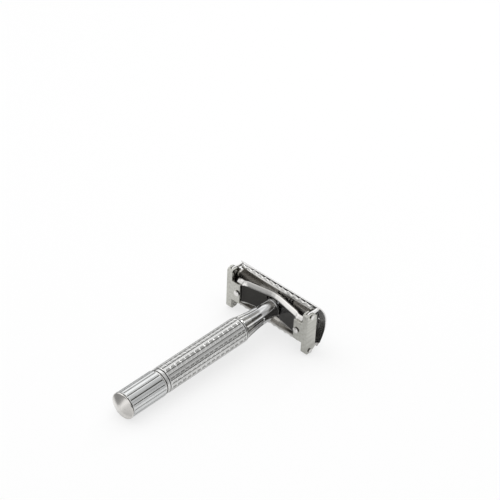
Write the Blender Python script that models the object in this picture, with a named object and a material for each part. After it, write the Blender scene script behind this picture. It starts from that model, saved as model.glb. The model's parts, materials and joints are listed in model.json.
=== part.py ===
"""Double edge safety razor with a twist-to-open head.

The handle is modelled upright along its own z axis, knob end at zero, blade length along y and
head width along x. One empty then lays the whole razor down on its knob rim and guard edge.
"""
import math

import bmesh
import bpy
import numpy as np
from mathutils import Matrix

# Gap between neighbouring pieces, and the running gap of pins in their holes
FIT_GAP = 0.0003
MICRO_GAP = 0.00005

# Knob: fluted barrel closed by a domed end cap
KNOB_RADIUS = 0.0055
CAP_DOME_RISE = 0.0005
CAP_FLAT_RADIUS = 0.0016
CAP_EDGE_RADIUS = 0.0052
CAP_BAND_START = 0.00045
CAP_BAND_END = 0.0013
KNOB_SHOULDER_START = 0.0178
KNOB_TOP = 0.01835
KNOB_NECK_RADIUS = 0.0048
KNOB_FLUTES = 16
KNOB_FLUTE_DEPTH = 0.0004
KNOB_BORE_FLOOR = 0.0026
KNOB_LAND = 0.0008

# Washer and bushing between the knob and the grip
WASHER_THICKNESS = 0.0004
WASHER_RADIUS = 0.005
BUSHING_FLANGE = 0.0013
BUSHING_RADIUS = 0.0052
BUSHING_SPIGOT = 0.0044

# Drive screw, its retaining ring and the lift rod
SCREW_RADIUS = 0.0013
SCREW_TOP = 0.042
RING_THICKNESS = 0.0006
RING_RADIUS = 0.0022
ROD_BORE_DEPTH = 0.0178
TENON_HALF = 0.0008
TENON_ABOVE_STRAP = 0.0007
NUT_RADIUS = 0.00195
NUT_THICKNESS = 0.0006

# Grip sleeve with nine plain ribs between rows of blocks, and the rounded collar above it
GRIP_RADIUS = 0.0053
GRIP_TOP = 0.062
GRIP_RIBS = 9
GRIP_GROOVE_DEPTH = 0.00028
GRIP_LAND = 0.0007
COLLAR_TOP = 0.0671
COLLAR_ROUND_START = 0.0645
COLLAR_TOP_RADIUS = 0.0047
COLLAR_STEPS = 6

# Neck barrel: plain inside the grip, fluted and tapered above it
BARREL_RADIUS = 0.0037
BARREL_BORE = 0.0027
NECK_FLARE_RADIUS = 0.0044
NECK_WAIST_RADIUS = 0.00405
NECK_RADIUS = 0.00375
NECK_WAIST = 0.0705
NECK_FLUTE_FULL = 0.0716
NECK_FLUTE_END = 0.0764
NECK_FLUTES = 12
NECK_FLUTE_DEPTH = 0.0003

# Moving crossbar: a sheet channel, gull-winged along the blade length
SHEET = 0.0008
STRAP_CENTRE_Z = 0.0825
STRAP_HALF = 0.0019
CROSSBAR_FLAT_HALF = 0.004
CROSSBAR_HALF = 0.0056
CROSSBAR_FLANK_RISE = 0.00135
CROSSBAR_HALF_LENGTH = 0.0171
WING_START = 0.0035
WING_START_DROP = 0.0003
WING_END = 0.013
WING_END_DROP = 0.0023
FOOT_START = 0.0142
FOOT_DROP = 0.0032

# Doors: the pair of curved covers over the blade
DOOR_HALF_WIDTH = 0.0094
DOOR_HALF_LENGTH = 0.0209
DOOR_SHEET = 0.0006
DOOR_CENTRE_Z = 0.0895
DOOR_SEAM_HALF = 0.0002
DOOR_BEND_STEPS = 9
EAR_NECK_Z = 0.0832
EAR_ARC_STEPS = 8
EAR_ARC_START = 0.08
EAR_ARC_SWEEP = 1.12

# End brackets and hinge pins
LIFT = 0.0013
PIN_X = 0.0084
PIN_Z = 0.0805
PIN_RADIUS = 0.00045
PIN_HEAD_RADIUS = 0.001
PIN_HEAD = 0.00035
BOSS_RADIUS = 0.0012
PLATE = 0.0007
BRACKET_INNER_Y = 0.0186
BRACKET_HALF_WIDTH = 0.0096
BRACKET_TOP_HALF = 0.0079
BRACKET_SHOULDER_Z = 0.0812
BRACKET_TOP_Z = 0.0834
BRACKET_CORNER = 0.0007
FOOT_HALF_WIDTH = 0.0046
FOOT_INNER_Y = 0.0143
RIVET_Y = 0.0157
RIVET_RADIUS = 0.0007
RIVET_HEAD_RADIUS = 0.0013
RIVET_HEAD = 0.0005

# Blade, and the guard that it lies on
BLADE_THICKNESS = 0.0001
BLADE_CENTRE_Z = 0.0887
BLADE_HALF_WIDTH = 0.00985
BLADE_EDGE_DROP = 0.0042
BLADE_HALF_LENGTH = 0.0215
BLADE_TAB_LENGTH = 0.00285
BLADE_TAB_HALF_WIDTH = 0.0078
BLADE_SLOT_END_LAND = 0.003
BLADE_BEND_STEPS = 4
RAIL_HALF = 0.00095
RAIL_END_CLEARANCE = 0.0017
RAIL_HEIGHT = 0.0005
GUARD_SHEET = 0.0007
GUARD_HALF_LENGTH = 0.0182
GUARD_ARCH_HALF = 0.0086
GUARD_BAR_HALF = 0.0105
GUARD_BAR_BOTTOM = 0.083
GUARD_BAR_TOP = 0.0842
GUARD_BAR_EDGE_LOW = 0.0834
GUARD_BAR_EDGE_HIGH = 0.0838
GUARD_BAR_ROUND = 0.0003
CHEEK_HALF_WIDTH = 0.0078
CHEEK_SHEET = 0.0008
CHEEK_STEPS = 12
SCALLOPS = 12
SCALLOP_COUNT = 16
SCALLOP_RADIUS = 0.0013
SCALLOP_DEPTH = 0.0005
DRAIN_SLOTS = 4
DRAIN_INNER = 0.0062
DRAIN_OUTER = 0.0077
DRAIN_HALF_LENGTH = 0.0031
DRAIN_PITCH = 0.0084

# Depth of the cuts round one repeat of each turned piece, as shares of its groove or flute depth
KNOB_SHARES = (1.0, 0.3, 0.0, 0.0, 0.0, 0.3)
GRIP_SHARES = (0.35, 1.0, 0.0, 0.0, 0.0, 0.0, 0.0, 1.0, 0.0, 0.0, 0.0, 0.6, 0.35, 0.35, 0.35, 0.35)
NECK_SHARES = (0.0, 0.25, 0.75, 1.0, 0.75, 0.25)
TENON_WIDTH_SHARE = 0.32
ROUND_COUNT = 24
PIN_COUNT = 12

# Values that follow from the ones above
STRAP_TOP_Z = STRAP_CENTRE_Z + SHEET
WASHER_BOTTOM = KNOB_TOP + FIT_GAP
WASHER_TOP = WASHER_BOTTOM + WASHER_THICKNESS
BUSHING_BOTTOM = WASHER_TOP + FIT_GAP
BUSHING_SHOULDER = BUSHING_BOTTOM + BUSHING_FLANGE
GRIP_BOTTOM = BUSHING_SHOULDER + FIT_GAP
BUSHING_TOP = BUSHING_SHOULDER + BUSHING_SPIGOT
RING_BOTTOM = BUSHING_TOP + FIT_GAP
ROD_BOTTOM = RING_BOTTOM + RING_THICKNESS + FIT_GAP
SCREW_BORE = SCREW_RADIUS + FIT_GAP
ROD_RADIUS = BARREL_BORE - FIT_GAP
COLLAR_BOTTOM = GRIP_TOP + FIT_GAP
NECK_START = COLLAR_TOP + FIT_GAP
SLEEVE_BORE = BARREL_RADIUS + FIT_GAP
OUTER_PLATE_Y = BRACKET_INNER_Y + PLATE + FIT_GAP + PLATE + FIT_GAP
BRACKET_OUTER_Y = OUTER_PLATE_Y + PLATE
EAR_Y = BRACKET_INNER_Y + PLATE + FIT_GAP
WEB_TOP_Z = PIN_Z - BOSS_RADIUS - FIT_GAP
WEB_BOTTOM_Z = WEB_TOP_Z - SHEET
FOOT_TOP_Z = STRAP_CENTRE_Z - FOOT_DROP - FIT_GAP
FOOT_BOTTOM_Z = FOOT_TOP_Z - SHEET
CHEEK_BOTTOM_Z = FOOT_TOP_Z + LIFT + 2 * FIT_GAP
BLADE_EDGE_HALF_LENGTH = BLADE_HALF_LENGTH - BLADE_TAB_LENGTH
BLADE_SLOT_HALF_LENGTH = BLADE_HALF_LENGTH - BLADE_SLOT_END_LAND
RAIL_HALF_LENGTH = BLADE_SLOT_HALF_LENGTH - RAIL_END_CLEARANCE
BLADE_CURVE = BLADE_EDGE_DROP / BLADE_HALF_WIDTH**2
BLADE_LIFT = BLADE_THICKNESS / 2 + FIT_GAP
DOOR_EDGE_Z = BLADE_CENTRE_Z - BLADE_CURVE * DOOR_HALF_WIDTH**2 + BLADE_LIFT
DOOR_CURVE = (DOOR_CENTRE_Z - DOOR_EDGE_Z) / DOOR_HALF_WIDTH**2
TILT = math.atan((GUARD_BAR_HALF - KNOB_RADIUS) / GUARD_BAR_EDGE_HIGH)


def blade_z(x):
    """Middle of the blade: a parabola that drops by the edge drop at the cutting edge."""
    return BLADE_CENTRE_Z - BLADE_CURVE * x * x


def door_z(x):
    """Underside of the doors: high over the centre rail, close to the blade at its edge."""
    return DOOR_CENTRE_Z - DOOR_CURVE * x * x


def make_material(name, colour, roughness):
    """Plated metal of one colour."""
    material = bpy.data.materials.new(name)
    material.use_nodes = True
    shader = material.node_tree.nodes["Principled BSDF"]
    shader.inputs["Base Color"].default_value = (*colour, 1.0)
    shader.inputs["Roughness"].default_value = roughness
    shader.inputs["Metallic"].default_value = 1.0
    return material


BRIGHT = (0.80, 0.80, 0.79)
SATIN = (0.66, 0.66, 0.64)
STEEL = (0.55, 0.56, 0.57)


def add_empty(name, parent, place):
    """Empty that a group of pieces hangs from."""
    empty = bpy.data.objects.new(name, None)
    bpy.context.collection.objects.link(empty)
    empty.parent = parent
    empty.matrix_local = place
    return empty


def add_piece(name, points, faces, parent, colour, roughness, smooth=False):
    """One closed mesh; its points are given in the upright frame and moved under the parent."""
    mesh = bpy.data.meshes.new(name)
    mesh.from_pydata([tuple(p) for p in points], [], faces)
    work = bmesh.new()
    work.from_mesh(mesh)
    bmesh.ops.recalc_face_normals(work, faces=work.faces)
    if work.calc_volume(signed=True) < 0:
        bmesh.ops.reverse_faces(work, faces=work.faces)
    work.to_mesh(mesh)
    work.free()
    mesh.materials.append(make_material(name + "_metal", colour, roughness))
    piece = bpy.data.objects.new(name, mesh)
    bpy.context.collection.objects.link(piece)
    piece.parent = parent
    mesh.transform(UPRIGHT[parent.name].inverted())
    mesh.polygons.foreach_set("use_smooth", [smooth] * len(mesh.polygons))
    return piece


def round_points(profile, count, shape, square=False):
    """Rings of points: each profile entry is radius, height and flute depth."""
    rings = []
    for radius, height, depth in profile:
        ring = []
        for k in range(count):
            angle = math.tau * k / count
            reach = radius - depth * shape[k % len(shape)]
            if square:
                reach = reach / max(abs(math.cos(angle)), abs(math.sin(angle)))
            ring.append((reach * math.cos(angle), reach * math.sin(angle), height))
        rings.append(ring)
    return rings


def skin(rings, closed):
    """Quads between the rings; open ends get one flat cap each."""
    count = len(rings[0])
    points = [p for ring in rings for p in ring]
    faces = []
    last = len(rings) if closed else len(rings) - 1
    for i in range(last):
        a = i * count
        b = (i + 1) % len(rings) * count
        for k in range(count):
            n = (k + 1) % count
            faces.append((a + k, a + n, b + n, b + k))
    if not closed:
        faces.append(tuple(range(count)))
        faces.append(tuple(range((len(rings) - 1) * count, len(rings) * count)))
    return points, faces


def add_round(name, profile, count, parent, colour, roughness, shape=(0.0,), closed=True):
    """Turned piece: a ring when its profile is closed, else a solid with two flat ends."""
    points, faces = skin(round_points(profile, count, shape), closed)
    return add_piece(name, points, faces, parent, colour, roughness, smooth=True)


def add_sheet(name, xs, ys, keep, low, high, parent, colour, roughness):
    """Sheet made of cells between the lines xs and ys, kept where keep(x, y) is true.

    low(x, y) and high(x, y) give the two skins, and every border between a kept and an empty
    cell gets a wall, so holes and slots come out closed.
    """
    index = {}
    points = []

    def corner(i, j, top):
        key = (i, j, top)
        if key not in index:
            index[key] = len(points)
            z = high(xs[i], ys[j]) if top else low(xs[i], ys[j])
            points.append((xs[i], ys[j], z))
        return index[key]

    def kept(i, j):
        if not (0 <= i < len(xs) - 1 and 0 <= j < len(ys) - 1):
            return False
        return keep((xs[i] + xs[i + 1]) / 2, (ys[j] + ys[j + 1]) / 2)

    faces = []
    for i in range(len(xs) - 1):
        for j in range(len(ys) - 1):
            if not kept(i, j):
                continue
            square = [(i, j), (i + 1, j), (i + 1, j + 1), (i, j + 1)]
            faces.append([corner(*c, True) for c in square])
            faces.append([corner(*c, False) for c in reversed(square)])
            beside = [(i, j - 1), (i + 1, j), (i, j + 1), (i - 1, j)]
            for k, other in enumerate(beside):
                if not kept(*other):
                    a, b = square[k], square[(k + 1) % 4]
                    faces.append([corner(*a, False), corner(*b, False), corner(*b, True), corner(*a, True)])
    return add_piece(name, points, faces, parent, colour, roughness)


def extrude(outline, start, end):
    """Points and faces of an outline in x and z drawn out along y."""
    count = len(outline)
    points = [(x, start, z) for x, z in outline] + [(x, end, z) for x, z in outline]
    faces = [tuple(range(count)), tuple(range(2 * count - 1, count - 1, -1))]
    for k in range(count):
        n = (k + 1) % count
        faces.append((k, n, count + n, count + k))
    return points, faces


def box(low, high):
    """Points and faces of a box between two corners."""
    outline = [(low[0], low[2]), (high[0], low[2]), (high[0], high[2]), (low[0], high[2])]
    return extrude(outline, low[1], high[1])


def rod_along(axis, centre, radius, start, end, count):
    """Points and faces of a straight round rod along y or z through a centre."""
    rings = []
    for level in (start, end):
        ring = []
        for k in range(count):
            angle = math.tau * (k + 0.5) / count
            a = centre[0] + radius * math.cos(angle)
            b = centre[1] + radius * math.sin(angle)
            ring.append((a, level, b) if axis == "y" else (a, b, level))
        rings.append(ring)
    return skin(rings, False)


def join(shapes):
    """Several point and face sets as one."""
    points, faces = [], []
    for some_points, some_faces in shapes:
        faces += [[len(points) + v for v in face] for face in some_faces]
        points += some_points
    return points, faces


def combine(piece, shapes, operation):
    """Cut the shapes from the piece, or weld them on, and keep the result as its mesh."""
    points, faces = join(shapes)
    tool = add_piece(piece.name + "_tool", points, faces, piece.parent, STEEL, 0.5)
    tool.hide_render = True
    tool.display_type = "WIRE"
    step = piece.modifiers.new("shape", "BOOLEAN")
    step.operation = operation
    step.solver = "EXACT"
    step.object = tool
    bpy.context.view_layer.update()
    shaped = piece.evaluated_get(bpy.context.evaluated_depsgraph_get())
    mesh = bpy.data.meshes.new_from_object(shaped)
    piece.modifiers.remove(step)
    piece.data = mesh
    bpy.data.objects.remove(tool)
    return piece


def between(start, end, count):
    """Evenly spaced values with both ends."""
    return [start + (end - start) * k / count for k in range(count + 1)]


def spaced(values):
    """Sorted values without repeats."""
    return sorted({round(v, 7) for v in values})


# Start from nothing and lay out the empties
for thing in list(bpy.data.objects):
    bpy.data.objects.remove(thing)

UPRIGHT = {}
LIE_DOWN = Matrix.Rotation(math.pi / 2 - TILT, 4, "Y")
RISE = KNOB_RADIUS * math.cos(TILT)
root_place = Matrix.Translation((0.0, 0.0, RISE)) @ LIE_DOWN
handle = add_empty("razor_handle", None, root_place)
UPRIGHT["razor_handle"] = Matrix.Identity(4)


def add_body(name, parent, place):
    """Empty of a moving body, remembered with its place in the upright frame."""
    UPRIGHT[name] = UPRIGHT[parent.name] @ place
    return add_empty(name, parent, place)


knob = add_body("knob_axis", handle, Matrix.Identity(4))
carriage = add_body("carriage_slide", handle, Matrix.Identity(4))
lower = add_body("door_lower_axis", carriage, Matrix.Translation((PIN_X, 0.0, PIN_Z)))
upper = add_body("door_upper_axis", carriage, Matrix.Translation((-PIN_X, 0.0, PIN_Z)))

# Twist knob with sixteen grooves
knob_bottom = CAP_BAND_END + FIT_GAP
knob_full = knob_bottom + KNOB_LAND
knob_profile = [
    (SCREW_BORE, KNOB_BORE_FLOOR, 0.0),
    (SCREW_BORE, KNOB_TOP, 0.0),
    (KNOB_NECK_RADIUS, KNOB_TOP, 0.0),
    (KNOB_RADIUS, KNOB_SHOULDER_START, 0.0),
    (KNOB_RADIUS, KNOB_SHOULDER_START - KNOB_LAND, KNOB_FLUTE_DEPTH),
    (KNOB_RADIUS, knob_full, KNOB_FLUTE_DEPTH),
    (KNOB_RADIUS, knob_bottom, 0.0),
]
add_round("twist_knob", knob_profile, KNOB_FLUTES * len(KNOB_SHARES), knob, SATIN, 0.24, KNOB_SHARES, False)

# Domed end cap with a small flat at its middle
dome = []
for share in between(0.0, 1.0, 5):
    radius = CAP_FLAT_RADIUS + (CAP_EDGE_RADIUS - CAP_FLAT_RADIUS) * share
    dome.append((radius, -CAP_DOME_RISE * (1.0 - share * share), 0.0))
cap_profile = dome + [(KNOB_RADIUS, CAP_BAND_START, 0.0), (KNOB_RADIUS, CAP_BAND_END, 0.0)]
add_round("knob_end_cap", cap_profile, 48, knob, BRIGHT, 0.1, closed=False)

# Drive screw, its retaining ring, and the washer and bushing that it turns in
screw_bottom = KNOB_BORE_FLOOR + FIT_GAP
add_round(
    "drive_screw",
    [(SCREW_RADIUS, screw_bottom, 0.0), (SCREW_RADIUS, SCREW_TOP, 0.0)],
    ROUND_COUNT, knob, STEEL, 0.35, closed=False,
)


def ring_profile(inner, outer, bottom, top):
    """Square section of a plain ring."""
    return [(inner, bottom, 0.0), (outer, bottom, 0.0), (outer, top, 0.0), (inner, top, 0.0)]


add_round(
    "retaining_ring",
    ring_profile(SCREW_BORE, RING_RADIUS, RING_BOTTOM, RING_BOTTOM + RING_THICKNESS),
    ROUND_COUNT, knob, STEEL, 0.4,
)
add_round(
    "thrust_washer",
    ring_profile(SCREW_BORE, WASHER_RADIUS, WASHER_BOTTOM, WASHER_TOP),
    ROUND_COUNT, handle, STEEL, 0.4,
)
bushing_profile = [
    (SCREW_BORE, BUSHING_BOTTOM, 0.0),
    (BUSHING_RADIUS, BUSHING_BOTTOM, 0.0),
    (BUSHING_RADIUS, BUSHING_SHOULDER, 0.0),
    (ROD_RADIUS, BUSHING_SHOULDER, 0.0),
    (ROD_RADIUS, BUSHING_TOP, 0.0),
    (SCREW_BORE, BUSHING_TOP, 0.0),
]
add_round("knob_bushing", bushing_profile, 48, handle, BRIGHT, 0.18)

# Grip sleeve: nine plain ribs, each beside a flat row with a lower edge for the knurled blocks
grip_profile = [
    (SLEEVE_BORE, GRIP_BOTTOM, 0.0),
    (GRIP_RADIUS - GRIP_GROOVE_DEPTH, GRIP_BOTTOM, 0.0),
    (GRIP_RADIUS, GRIP_BOTTOM + GRIP_LAND, GRIP_GROOVE_DEPTH),
    (GRIP_RADIUS, GRIP_TOP - GRIP_LAND, GRIP_GROOVE_DEPTH),
    (GRIP_RADIUS, GRIP_TOP, 0.0),
    (SLEEVE_BORE, GRIP_TOP, 0.0),
]
add_round("grip_sleeve", grip_profile, GRIP_RIBS * len(GRIP_SHARES), handle, SATIN, 0.26, GRIP_SHARES)

# Rounded collar above the grip
collar_profile = [(SLEEVE_BORE, COLLAR_BOTTOM, 0.0), (GRIP_RADIUS, COLLAR_BOTTOM, 0.0)]
for share in between(0.0, 1.0, COLLAR_STEPS):
    turn = share * math.pi / 2
    radius = COLLAR_TOP_RADIUS + (GRIP_RADIUS - COLLAR_TOP_RADIUS) * math.cos(turn)
    height = COLLAR_ROUND_START + (COLLAR_TOP - COLLAR_ROUND_START) * math.sin(turn)
    collar_profile.append((radius, height, 0.0))
collar_profile.append((SLEEVE_BORE, COLLAR_TOP, 0.0))
add_round("grip_collar", collar_profile, 48, handle, BRIGHT, 0.12)

# Neck barrel: its flutes run out as rounded ends below the head
neck_top = blade_z(NECK_RADIUS) - BLADE_LIFT
tenon_shoulder = neck_top - GUARD_SHEET - FIT_GAP
neck_profile = [
    (BARREL_BORE, GRIP_BOTTOM, 0.0),
    (BARREL_RADIUS, GRIP_BOTTOM, 0.0),
    (BARREL_RADIUS, NECK_START, 0.0),
    (NECK_FLARE_RADIUS, NECK_START, NECK_FLUTE_DEPTH),
    (NECK_WAIST_RADIUS, NECK_WAIST, NECK_FLUTE_DEPTH),
    (NECK_RADIUS + MICRO_GAP, NECK_FLUTE_FULL, NECK_FLUTE_DEPTH),
]
for share in between(0.0, 1.0, 5)[1:]:
    height = NECK_FLUTE_FULL + (NECK_FLUTE_END - NECK_FLUTE_FULL) * share
    neck_profile.append((NECK_RADIUS, height, NECK_FLUTE_DEPTH * (1.0 - share * share)))
neck_profile += [(NECK_RADIUS, neck_top, 0.0), (BARREL_BORE, neck_top, 0.0)]
neck = add_round(
    "neck_barrel", neck_profile, NECK_FLUTES * len(NECK_SHARES), handle, BRIGHT, 0.16, NECK_SHARES
)
slot_half = STRAP_HALF + FIT_GAP
slot_bottom = STRAP_CENTRE_Z - WING_START_DROP - FIT_GAP
tenon_half = TENON_WIDTH_SHARE * NECK_RADIUS
reach = NECK_RADIUS + FIT_GAP
combine(
    neck,
    [
        box((-slot_half, -reach, slot_bottom), (slot_half, reach, neck_top + FIT_GAP)),
    ],
    "DIFFERENCE",
)
combine(
    neck,
    [
        box((-reach, tenon_half, tenon_shoulder), (reach, reach, neck_top + FIT_GAP)),
        box((-reach, -reach, tenon_shoulder), (reach, -tenon_half, neck_top + FIT_GAP)),
    ],
    "DIFFERENCE",
)

# Guard plate: arched sheet with drain slots between two thick scalloped bars
half_round = GUARD_BAR_ROUND / 2
bar_xs = [
    GUARD_ARCH_HALF,
    GUARD_ARCH_HALF + GUARD_BAR_ROUND,
    GUARD_BAR_HALF - 2 * GUARD_BAR_ROUND,
    GUARD_BAR_HALF - half_round,
    GUARD_BAR_HALF,
]
bar_highs = [
    blade_z(GUARD_ARCH_HALF) - BLADE_LIFT,
    GUARD_BAR_TOP + GUARD_BAR_ROUND,
    GUARD_BAR_TOP,
    GUARD_BAR_EDGE_HIGH + half_round,
    GUARD_BAR_EDGE_HIGH,
]
bar_lows = [
    GUARD_BAR_BOTTOM + GUARD_BAR_ROUND,
    GUARD_BAR_BOTTOM,
    GUARD_BAR_BOTTOM,
    GUARD_BAR_EDGE_LOW - half_round,
    GUARD_BAR_EDGE_LOW,
]


def guard_high(x, y):
    """Upper skin of the guard."""
    if abs(x) < GUARD_ARCH_HALF:
        return blade_z(x) - BLADE_LIFT
    return float(np.interp(abs(x), bar_xs, bar_highs))


def guard_low(x, y):
    """Lower skin: a thin arch, then the deep bars."""
    if abs(x) < GUARD_ARCH_HALF:
        return blade_z(x) - BLADE_LIFT - GUARD_SHEET
    return float(np.interp(abs(x), bar_xs, bar_lows))


drain_centres = [DRAIN_PITCH * (k - (DRAIN_SLOTS - 1) / 2) for k in range(DRAIN_SLOTS)]
tenon_inner = slot_half - FIT_GAP
tenon_outer = NECK_RADIUS + FIT_GAP
tenon_side = tenon_half + FIT_GAP


def guard_keep(x, y):
    """False in the drain slots and the two tenon holes."""
    if DRAIN_INNER < abs(x) < DRAIN_OUTER and any(abs(y - c) < DRAIN_HALF_LENGTH for c in drain_centres):
        return False
    return not (tenon_inner < abs(x) < tenon_outer and abs(y) < tenon_side)


arch_middle = (tenon_outer + DRAIN_INNER) / 2
guard_half = [0.0, tenon_inner, tenon_outer, arch_middle, DRAIN_INNER, DRAIN_OUTER]
guard_half += [GUARD_ARCH_HALF - FIT_GAP] + bar_xs
guard_ys = [-GUARD_HALF_LENGTH, -tenon_side, tenon_side, GUARD_HALF_LENGTH]
for centre in drain_centres:
    guard_ys += [centre - DRAIN_HALF_LENGTH, centre + DRAIN_HALF_LENGTH]
guard = add_sheet(
    "guard_plate",
    spaced([s * x for x in guard_half for s in (-1, 1)]),
    spaced(guard_ys),
    guard_keep, guard_low, guard_high, handle, BRIGHT, 0.16,
)

# Cheeks folded down at both ends of the guard
cheek_outline = [(-CHEEK_HALF_WIDTH, CHEEK_BOTTOM_Z), (CHEEK_HALF_WIDTH, CHEEK_BOTTOM_Z)]
for x in between(CHEEK_HALF_WIDTH, -CHEEK_HALF_WIDTH, CHEEK_STEPS):
    cheek_outline.append((x, (guard_low(x, 0.0) + guard_high(x, 0.0)) / 2))
cheeks = []
for side in (1, -1):
    cheek_ends = sorted((side * (GUARD_HALF_LENGTH - CHEEK_SHEET), side * GUARD_HALF_LENGTH))
    cheeks.append(extrude(cheek_outline, *cheek_ends))
combine(guard, cheeks, "UNION")

# Scallops along both bars
scallop_pitch = 2 * GUARD_HALF_LENGTH / SCALLOPS
cutters = []
for k in range(SCALLOPS):
    y = -GUARD_HALF_LENGTH + scallop_pitch * (k + 0.5)
    for side in (-1, 1):
        x = side * (GUARD_BAR_HALF + SCALLOP_RADIUS - SCALLOP_DEPTH)
        ends = (GUARD_BAR_BOTTOM - SHEET, GUARD_BAR_TOP + SHEET)
        cutters.append(rod_along("z", (x, y), SCALLOP_RADIUS, *ends, SCALLOP_COUNT))
combine(guard, cutters, "DIFFERENCE")

# Centre rail that locates the blade by its slot
rail_bottom = BLADE_CENTRE_Z - BLADE_LIFT + FIT_GAP
rail = box(
    (-RAIL_HALF, -RAIL_HALF_LENGTH, rail_bottom), (RAIL_HALF, RAIL_HALF_LENGTH, rail_bottom + RAIL_HEIGHT)
)
add_piece("centre_rail", rail[0], rail[1], handle, BRIGHT, 0.2)

# Blade, bent over the guard, with its long slot and narrower end tabs
slot_width = RAIL_HALF + FIT_GAP


def blade_keep(x, y):
    """False in the slot and beside the end tabs."""
    if abs(x) < slot_width and abs(y) < BLADE_SLOT_HALF_LENGTH:
        return False
    return abs(x) < BLADE_TAB_HALF_WIDTH or abs(y) < BLADE_EDGE_HALF_LENGTH


blade_half = [0.0] + between(slot_width, BLADE_TAB_HALF_WIDTH, BLADE_BEND_STEPS)
blade_half += between(BLADE_TAB_HALF_WIDTH, BLADE_HALF_WIDTH, 2)
blade_lengths = (BLADE_SLOT_HALF_LENGTH, BLADE_EDGE_HALF_LENGTH, BLADE_HALF_LENGTH)
add_sheet(
    "blade",
    spaced([s * x for x in blade_half for s in (-1, 1)]),
    spaced([s * y for y in blade_lengths for s in (-1, 1)]),
    blade_keep,
    lambda x, y: blade_z(x) - BLADE_THICKNESS / 2,
    lambda x, y: blade_z(x) + BLADE_THICKNESS / 2,
    handle, STEEL, 0.22,
)

# Lift rod: bored for the screw below, with a square tenon through the crossbar
rod_top = STRAP_CENTRE_Z - FIT_GAP
rod_profile = [
    (SCREW_BORE, ROD_BOTTOM + ROD_BORE_DEPTH, 0.0),
    (SCREW_BORE, ROD_BOTTOM, 0.0),
    (ROD_RADIUS, ROD_BOTTOM, 0.0),
    (ROD_RADIUS, slot_bottom - LIFT, 0.0),
]
rings = round_points(rod_profile, ROUND_COUNT, (0.0,))
waist_profile = [(STRAP_HALF, slot_bottom - LIFT, 0.0), (STRAP_HALF, rod_top, 0.0)]
rings += round_points(waist_profile, ROUND_COUNT, (0.0,))
tenon_top = STRAP_TOP_Z + FIT_GAP + TENON_ABOVE_STRAP
tenon_profile = [(TENON_HALF, rod_top, 0.0), (TENON_HALF, tenon_top, 0.0)]
rings += round_points(tenon_profile, ROUND_COUNT, (0.0,), True)
rod_points, rod_faces = skin(rings, False)
add_piece("lift_rod", rod_points, rod_faces, carriage, STEEL, 0.3, smooth=True)
nut_bottom = STRAP_TOP_Z + FIT_GAP
nut_bore = TENON_HALF * math.sqrt(2) + FIT_GAP
add_round(
    "crossbar_nut",
    ring_profile(nut_bore, NUT_RADIUS, nut_bottom, nut_bottom + NUT_THICKNESS),
    ROUND_COUNT, carriage, STEEL, 0.3,
)

# Crossbar: flat strap with slanted flanks, lower toward both ends
wing_ys = [0.0, WING_START, WING_END, FOOT_START, CROSSBAR_HALF_LENGTH]
wing_drops = [0.0, WING_START_DROP, WING_END_DROP, FOOT_DROP, FOOT_DROP]


def crossbar_low(x, y):
    """Underside of the crossbar: the gull wing along y plus the flank's rise in x."""
    z = STRAP_CENTRE_Z - float(np.interp(abs(y), wing_ys, wing_drops))
    share = (abs(x) - CROSSBAR_FLAT_HALF) / (CROSSBAR_HALF - CROSSBAR_FLAT_HALF)
    return z + CROSSBAR_FLANK_RISE * max(share, 0.0)


hole_half = TENON_HALF + FIT_GAP
window_outer = NECK_RADIUS + FIT_GAP
window_side = math.sqrt(NECK_RADIUS**2 - slot_half**2) + FIT_GAP
rivet_hole = RIVET_RADIUS + FIT_GAP


def crossbar_keep(x, y):
    """False at the tenon hole, the two neck windows and the rivet holes."""
    if abs(x) < hole_half and abs(y) < hole_half:
        return False
    if STRAP_HALF < abs(x) < window_outer and abs(y) < window_side:
        return False
    return not (abs(x) < rivet_hole and abs(abs(y) - RIVET_Y) < rivet_hole)


bar_half = [rivet_hole, hole_half, STRAP_HALF, window_outer, CROSSBAR_FLAT_HALF, CROSSBAR_HALF]
bar_ys = [hole_half, window_side, WING_START, WING_END, FOOT_START, RIVET_Y - rivet_hole]
bar_ys += [RIVET_Y + rivet_hole, CROSSBAR_HALF_LENGTH]
add_sheet(
    "crossbar",
    spaced([s * x for x in bar_half for s in (-1, 1)]),
    spaced([s * y for y in bar_ys for s in (-1, 1)]),
    crossbar_keep,
    crossbar_low,
    lambda x, y: crossbar_low(x, y) + SHEET,
    carriage, BRIGHT, 0.1,
)

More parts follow.
